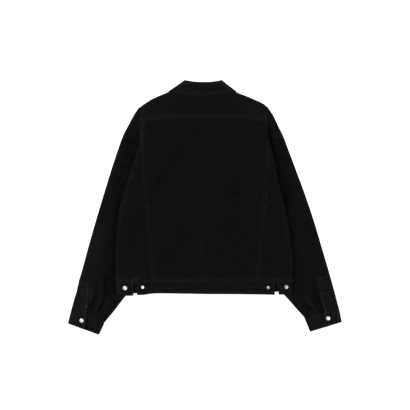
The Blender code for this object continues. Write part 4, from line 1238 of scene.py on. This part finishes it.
def collar_profile(cells):
    """From the neck seam up the stand, over the roll and down the fall: how far down from the roll, the
    level off mid, how far past the roll, and whether it is on the fall."""
    turn = np.linspace(-math.pi / 2, math.pi / 2, 9)
    run = np.linspace(1, 0, cells + 1)[:-1]
    down = np.concatenate([run, np.zeros(9), run[::-1]])
    level = COLLAR_TURN * np.concatenate([-np.ones(cells), np.sin(turn), np.ones(cells)])
    past = COLLAR_TURN * np.concatenate([np.zeros(cells), np.cos(turn), np.zeros(cells)])
    return list(zip(down, level, past, np.arange(len(down)) >= cells + 4))


def collar_row(down, level, past, on_fall):
    """One line round the neck: left leaf, left fold, back, right fold, right leaf."""
    sides, ends = (FALL_SIDES, LEAF_END) if on_fall else (STAND_SIDES, STAND_END)
    low_y, low_dip = (COLLAR_EDGE_Y, COLLAR_DIP[1]) if on_fall else (COLLAR_NECK_Y, COLLAR_DIP[2])
    (left, right), (end_x, end_y) = lerp(*np.array(sides), down), lerp(*np.array(ends), down)
    side_y, dip = lerp(COLLAR_ROLL_Y, low_y, down), lerp(COLLAR_DIP[0], low_dip, down)
    half = COLLAR_HALF + level
    q, p = np.linspace(1, 0, LEAF_POINTS), np.linspace(-1, 1, BACK_POINTS)
    turn = np.linspace(-math.pi / 2, math.pi / 2, TURN_POINTS + 2)[1:-1]
    up, bend = np.array([0.0, 1.0]), (turn / math.pi + 0.5)[:, None]

    def wing(edge, way):
        """A leaf from its end to its fold, and the fold up to the back. way is -1 on the left."""
        out = np.array([-way * LEAF_WAY[0], LEAF_WAY[1]])
        leaf = np.column_stack([lerp(edge, way * end_x, q), lerp(side_y, end_y, q)]) + past * out
        fold = np.column_stack([edge + way * half * np.cos(turn), np.full(TURN_POINTS, side_y)])
        return np.concatenate([leaf, fold + past * lerp(out, up, bend)])

    back_y = side_y - dip * (1 - np.abs(p) ** DIP_POWER)
    back = np.column_stack([lerp(left, right, (p + 1) / 2), back_y]) + past * up
    plan = np.concatenate([wing(left, -1), back, wing(right, 1)[::-1]])
    low, rise = np.full(LEAF_POINTS, -half), half * np.sin(turn)
    z = COLLAR_MID + np.concatenate([low, rise, np.full(BACK_POINTS, half), -rise, low])
    return np.column_stack([plan, z])


def collar():
    """The folded strip, with pale lines along its two folds and its rims."""
    profile = collar_profile(22)
    grid = np.array([collar_row(*line) for line in profile])
    down = np.array([[line[0]] for line in profile]) * FALL_DEPTH
    on_fall = np.array([[line[3]] for line in profile])
    x, y = grid[..., 0], grid[..., 1]
    tone = 0.16 + uneven(x, y, (0.12, 14, 71), (0.06, 6, 72)) + 0.22 * ease((-45 - x) / 30)
    tone = tone + on_fall * (0.42 * bump(FALL_DEPTH - down - 6, 6.5) + 0.5 * bump(down - 3, 5))
    for side in (0, 1):
        fold = x - lerp(FALL_SIDES[0][side], FALL_SIDES[1][side], down / FALL_DEPTH)
        tone = tone + lerp(0.9, 0.6, side) * bump(fold, 8)
        tone = tone + lerp(0.5, 0.3, side) * bump(fold, 24) * bump(down - 4, 10) * on_fall
    grid[..., 2] += on_fall * (0.12 * lumps(x, y, 22, 73) * ease(down / 6) + 0.1)
    return cloth("collar", grid[::-1], tone[::-1], CLOTH, 0)


collar()

# %% [markdown]
# ## Topstitching
#
# Each row of stitches is a string of short rounded grains of thread, a little over three millimetres
# apart, that sink into the cloth at both ends. One low-polygon grain is repeated along every row.

# %% Stitches
STITCH_PITCH, STITCH_LENGTH, THREAD = 3.3, 2.7, 0.34  # millimetres


def thread_material(name, colour):
    """Matt thread whose tone varies by two fifths either way."""
    made, tree, shader = material(name, {"Roughness": 0.8, "Specular IOR Level": 0.08})
    dark, pale = np.array(colour) * 0.6, np.array(colour) * 1.4
    mixed = mix_colour(tree, dark, pale, noise(tree, object_place(tree), 260.0))
    connect(tree, shader, {"Base Color": mixed})
    return made


GREY_THREAD = thread_material("grey_thread", (0.0075, 0.0075, 0.0078))
PALE_THREAD = thread_material("pale_thread", (0.06, 0.058, 0.055))


def grain():
    """One stitch along X: rings of five points whose radius is the square root of 1 - t^2."""
    t = np.array([-0.96, -0.6, 0.6, 0.96])
    turn = np.arange(5) * math.tau / 5
    radius = np.sqrt(1 - t**2 * 0.92)
    ring = np.stack([np.cos(turn), np.sin(turn)], axis=-1)
    points = np.zeros((4, 5, 3))
    points[..., 0] = (t * 0.5)[:, None]
    points[..., 1:] = radius[:, None, None] * ring
    around = [(j, (j + 1) % 5) for j in range(5)]
    sides = [(i + j, i + k, i + 5 + k, i + 5 + j) for i in (0, 5, 10) for j, k in around]
    caps = [(4, 3, 2, 1, 0), (15, 16, 17, 18, 19)]
    return points.reshape(-1, 3), sides, caps


def resample(path, pitch):
    """Points at equal steps along a polyline, and the direction at each."""
    run = np.concatenate([[0.0], np.cumsum(np.linalg.norm(np.diff(path, axis=0), axis=1))])
    at = np.arange(pitch / 2, run[-1], pitch)
    points, ahead, behind = (
        np.column_stack([np.interp(at + step, run, path[:, k]) for k in range(3)])
        for step in (0, 0.5, -0.5)
    )
    way = ahead - behind
    return points, way / np.linalg.norm(way, axis=1, keepdims=True)


def stitches(name, paths, look, pitch=STITCH_PITCH, length=STITCH_LENGTH, thread=THREAD):
    """Grains of thread along paths of (x, y, z) points that lie on the cloth."""
    template, sides, caps = grain()
    centres, ways = (np.concatenate(part) for part in zip(*[resample(p, pitch) for p in paths]))
    count = len(centres)
    lean = np.random.default_rng(count).normal(0, 0.05, count)[:, None]
    cross = np.column_stack([-ways[:, 1], ways[:, 0], np.zeros(count)])
    ways = ways + cross * lean
    axes = np.stack([ways, cross, np.cross(ways, cross)], axis=1)
    points = centres[:, None] + template * (length, thread, thread) @ axes
    points[..., 2] += thread * 0.35
    base = (np.arange(count) * len(template))[:, None, None]
    quads, fives = ((np.array(faces) + base).reshape(-1, len(faces[0])) for faces in (sides, caps))
    mesh = bpy.data.meshes.new(name)
    mesh.from_pydata((points.reshape(-1, 3) * MM).tolist(), [], quads.tolist() + fives.tolist())
    mesh.shade_smooth()
    print(f"{name}: {count} stitches")
    return piece(name, mesh, look)


def on_back(x, y):
    return np.column_stack([x, y, back_top(x, y)])


def on_band(x, y):
    return np.column_stack([x, y, band_base(x, y) + band_detail(x, y)[0] + DOUBLED])


run_up = np.linspace(BAND_TOP + 4, 258.0, 260)
seam_paths = []
for left_row, right_row in zip(LEFT_ROWS, RIGHT_ROWS):
    seam_paths.append(on_back(edge_x(run_up, LEFT_SEAM) - left_row, run_up))
    seam_paths.append(on_back(edge_x(run_up, RIGHT_SEAM) + right_row, run_up))
across = np.linspace(-194.5, 186.0, 260)
for row in YOKE_SEAM_ROWS:
    seam_paths.append(on_back(across, yoke_stitch_line(across) + row))
stitches("back_topstitching", seam_paths, GREY_THREAD)

band_paths = []
ends = (-268.0, LEFT_SLOT[0] - 2, LEFT_SLOT[1] + 2, RIGHT_SLOT[0] - 2, RIGHT_SLOT[1] + 2, 264.0)
for left, right in zip(ends[::2], ends[1::2]):
    run = np.linspace(left, right, 200)
    band_paths.append(on_band(run, np.full(200, BAND_TOP - SEAM - BAND_STITCHES[0])))
    band_paths.append(on_band(run, band_bottom(run) + BAND_STITCHES[1]))
for edge, way in zip((*LEFT_SLOT, *RIGHT_SLOT), (-1, 1, -1, 1)):
    end = edge + way * SLOT_STITCH
    rise = np.linspace(float(band_bottom(np.array(end))) + BAND_STITCHES[1], BAND_TOP - 2.6, 30)
    band_paths.append(on_band(np.full(30, end), rise))
stitches("waistband_topstitching", band_paths, GREY_THREAD)

# %% Stitches of the collar, plackets and cuffs
BACK_START = LEAF_POINTS + TURN_POINTS
collar_lines = []
for down in (5.0, 31.0):
    line = collar_row(down / FALL_DEPTH, COLLAR_TURN, 0.0, True)[BACK_START : BACK_START + BACK_POINTS]
    line[:, 2] = COLLAR_MID + COLLAR_HALF + COLLAR_TURN + CLOTH / 2 + 0.15
    collar_lines.append(line)
stitches("collar_topstitching", collar_lines, GREY_THREAD)

sleeve_lines = []
PLACKET_TOP = SLEEVE_FLAT + PLACKET_CLEAR + 0.25 + CLOTH
CUFF_TOP = CUFF_HIGH + DOUBLED / 2 + 0.3
for placket_corners, cuff_corners in ((PLACKET_LEFT, CUFF_LEFT), (PLACKET_RIGHT, CUFF_RIGHT)):
    outer_top, inner_top, inner_low, outer_low = np.array(placket_corners)
    down, back = unit(inner_top, inner_low), unit(inner_top, outer_top)
    corner = inner_top + 3 * back + 3 * down
    line = np.array([inner_low + 3 * back - 2 * down, corner, outer_top - 5 * back + 3 * down])
    sleeve_lines.append(np.column_stack([line, np.full(3, PLACKET_TOP)]))
    seam_out, seam_in, end_out, end_in = np.array(cuff_corners)
    lap_top, lap_end = lerp(seam_out, seam_in, CUFF_LAP[0]), lerp(end_out, end_in, CUFF_LAP[1])
    a, b = (lerp(seam_out, lap_top, share) for share in (0.06, 0.95))
    d, c = (lerp(end_out, lap_end, share) for share in (0.06, 0.95))
    a, b, c, d = (lerp(*pair, 0.07) for pair in ((a, d), (b, c), (c, b), (d, a)))
    sleeve_lines.append(np.column_stack([np.array([a, b, c, d]), np.full(4, CUFF_TOP)]))
stitches("sleeve_topstitching", sleeve_lines, GREY_THREAD)

BARTACKS = (
    # across, up, direction of the tack in degrees, length, height of the cloth
    (-360.4, -301.8, 80.0, 8.0, PLACKET_TOP),
    (367.5, -321.0, 100.0, 7.0, CUFF_TOP),
)
for number, (x, y, turn, length, z) in enumerate(BARTACKS, 1):
    way = np.array([math.cos(math.radians(turn)), math.sin(math.radians(turn))])
    side = np.array([-way[1], way[0]])
    tack = []
    for step in np.linspace(-length / 2, length / 2, 14):
        middle = np.array([x, y]) + way * step
        ends = np.array([middle - side * 1.3, middle + side * 1.3])
        tack.append(np.column_stack([ends, [z, z]]))
    stitches(f"bartack_{number}", tack, PALE_THREAD, pitch=2.6, length=2.6, thread=0.32)

# %% [markdown]
# ## Buttons
#
# The buttons are turned metal shank buttons with a plain face: a rolled rim, a shallow groove and a low
# dome. Each is a profile swept round its axis, and those on the waistband tilt with the cloth.

# %% Metal


def metal():
    """Bright metal, darker where a point attribute is low: painted shade in grooves and under rims."""
    made, tree, shader = material("bright_metal", {"Metallic": 1.0})
    speckle = noise(tree, object_place(tree), 700.0, 4.0)
    share = times(tree, attribute(tree, "painted_shine"), add(tree, times(tree, speckle, 0.3), 0.85), clamp=True)
    colour = mix_colour(tree, (0.012, 0.012, 0.013), (0.9, 0.905, 0.91), share)
    roughness = add(tree, times(tree, speckle, 0.2), 0.16)
    connect(tree, shader, {"Base Color": colour, "Roughness": roughness})
    return made


METAL = metal()

# %% Turned buttons
FACE_PROFILE = table(
    # radius and height, as shares of the button's radius and depth, and painted brightness of the metal
    (0.0, 1.0, 1.0), (0.2, 0.995, 1.0), (0.4, 0.975, 1.0), (0.56, 0.94, 1.0), (0.69, 0.89, 0.9),
    (0.75, 0.85, 0.4), (0.80, 0.85, 0.2), (0.85, 0.89, 0.22), (0.90, 0.92, 0.26),
    (0.95, 0.89, 0.2), (0.98, 0.80, 0.15), (1.0, 0.68, 0.1), (0.99, 0.56, 0.1),
    (0.94, 0.47, 0.1), (0.8, 0.42, 0.1), (0.62, 0.38, 0.1), (0.58, 0.2, 0.1), (0.6, 0.0, 0.1),
    (0.0, 0.0, 0.1),
)
# Buttons painted dimmer all over: painted shade on their reflections.
PAINTED_BUTTON_DIMMING = {"waist_button_right_small": 0.5, "waist_button_right_large": 0.36, "cuff_button_right": 0.75}


def button(node, place, radius, depth, up=(0, 0, 1), turns=40):
    """The profile swept round Z: x = r cos a, y = r sin a, then turned to stand along up."""
    angle = np.linspace(0, math.tau, turns + 1)
    r, h = FACE_PROFILE[:, :1] * radius, FACE_PROFILE[:, 1:2] * depth
    grid = np.stack([r * np.cos(angle), r * np.sin(angle), h + 0 * angle], axis=-1)
    turn = np.array(Vector(up).to_track_quat("Z", "Y").to_matrix())
    points = grid.reshape(-1, 3) @ turn.T + np.array(place)
    mesh = make_mesh(node + "_metal", points, grid_faces(*grid.shape[:2]))
    # the profile's painted brightness: painted shade in the groove and under the rim
    painted_shine = np.repeat(FACE_PROFILE[:, 2], turns + 1) * PAINTED_BUTTON_DIMMING.get(node, 1.0)
    mesh.attributes.new("painted_shine", "FLOAT", "POINT").data.foreach_set("value", painted_shine.astype(np.float32))
    made = piece(node + "_metal", mesh, METAL, node)
    made.modifiers.new("join", "WELD").merge_threshold = 0.002 * MM
    return made


def band_top(x, y):
    return float(band_base(np.array(x), np.array(y)) + DOUBLED)


for node, x, y, radius, depth in BUTTONS:
    left, right = band_top(x - BUTTON_REACH, y), band_top(x + BUTTON_REACH, y)
    foot = max(band_top(x, y), (left + right) / 2) + BUTTON_CLEAR
    button(node, (x, y, foot), radius, depth, (left - right, 0.0, 2 * BUTTON_REACH))
lap_top = CUFF_HIGH + DOUBLED / 2 + SEAM
button("cuff_button_left", (-375.3, -344.6, lap_top), BUTTON_RADIUS, BUTTON_DEPTH)
button("cuff_button_right", (375.3, -337.9, lap_top), BUTTON_RADIUS, BUTTON_DEPTH)
for number, y in enumerate(FRONT_BUTTON_HEIGHTS, 1):
    place = (0.0, y, FRONT_BUTTON_DEPTH)
    button(f"front_button_{number}", place, BUTTON_RADIUS, FRONT_BUTTON_DEPTH, (0, 0, -1))
print("buttons:", 6 + len(FRONT_BUTTON_HEIGHTS))

# %% [markdown]
# ## Floor, light and camera
#
# The photo is a cut-out on white with no shadow, as on a photographer's light table. So the floor is
# white and glows a little, while the cloth stays near black. It lies a hair below the cloth, so that no two
# faces share a plane. Large soft lights keep shadows short. The camera stands four metres up, straight
# over the middle of the photo's frame.

# %% Floor and light
CAMERA_HEIGHT, SENSOR, FRAME_PIXELS = 4.0, 36.0, 410

FLOOR_HALF, FLOOR_DROP = 6.0, 0.0004
WHITE = (1.0, 1.0, 1.0, 1.0)
floor_mesh = bpy.data.meshes.new("floor")
corners = np.array([(-1, -1), (1, -1), (1, 1), (-1, 1)]) * FLOOR_HALF
floor_mesh.from_pydata([(*corner, -FLOOR_DROP) for corner in corners.tolist()], [], [(0, 1, 2, 3)])
floor = place_object("floor", floor_mesh)
paper = {"Base Color": (0.9, 0.9, 0.9, 1.0), "Roughness": 0.9, "Specular IOR Level": 0.1}
glow = {"Emission Color": WHITE, "Emission Strength": 0.5}
floor_mesh.materials.append(material("white_floor", paper | glow)[0])

world = bpy.data.worlds.new("studio")
bpy.context.scene.world = world
world.use_nodes = True
connect(world.node_tree, world.node_tree.nodes["Background"], {"Color": WHITE, "Strength": 0.75})


def area_light(name, place, size, power):
    """A round lamp that faces the jacket's middle."""
    data = bpy.data.lights.new(name, "AREA")
    data.shape, data.size, data.energy = "DISK", size, power
    made = place_object(name, data)
    made.location = place
    made.rotation_mode = "QUATERNION"
    made.rotation_quaternion = (-Vector(place)).to_track_quat("-Z", "Y")


area_light("key", (-1.6, 1.9, 3.2), 2.2, 95.0)
area_light("fill", (1.8, -1.2, 3.4), 3.0, 45.0)

# %% Camera
camera_data = bpy.data.cameras.new("camera")
span = FRAME_PIXELS * PHOTO_SCALE * MM
camera_data.sensor_width = SENSOR
camera_data.lens = SENSOR * CAMERA_HEIGHT / span
camera = place_object("camera", camera_data)
middle_x, middle_y = from_photo(FRAME_PIXELS / 2, FRAME_PIXELS / 2)
camera.location = (middle_x * MM, middle_y * MM, CAMERA_HEIGHT)
bpy.context.scene.camera = camera
bpy.context.scene.view_settings.view_transform = "Standard"
print("lens", round(camera_data.lens, 1), "mm at", CAMERA_HEIGHT, "m")
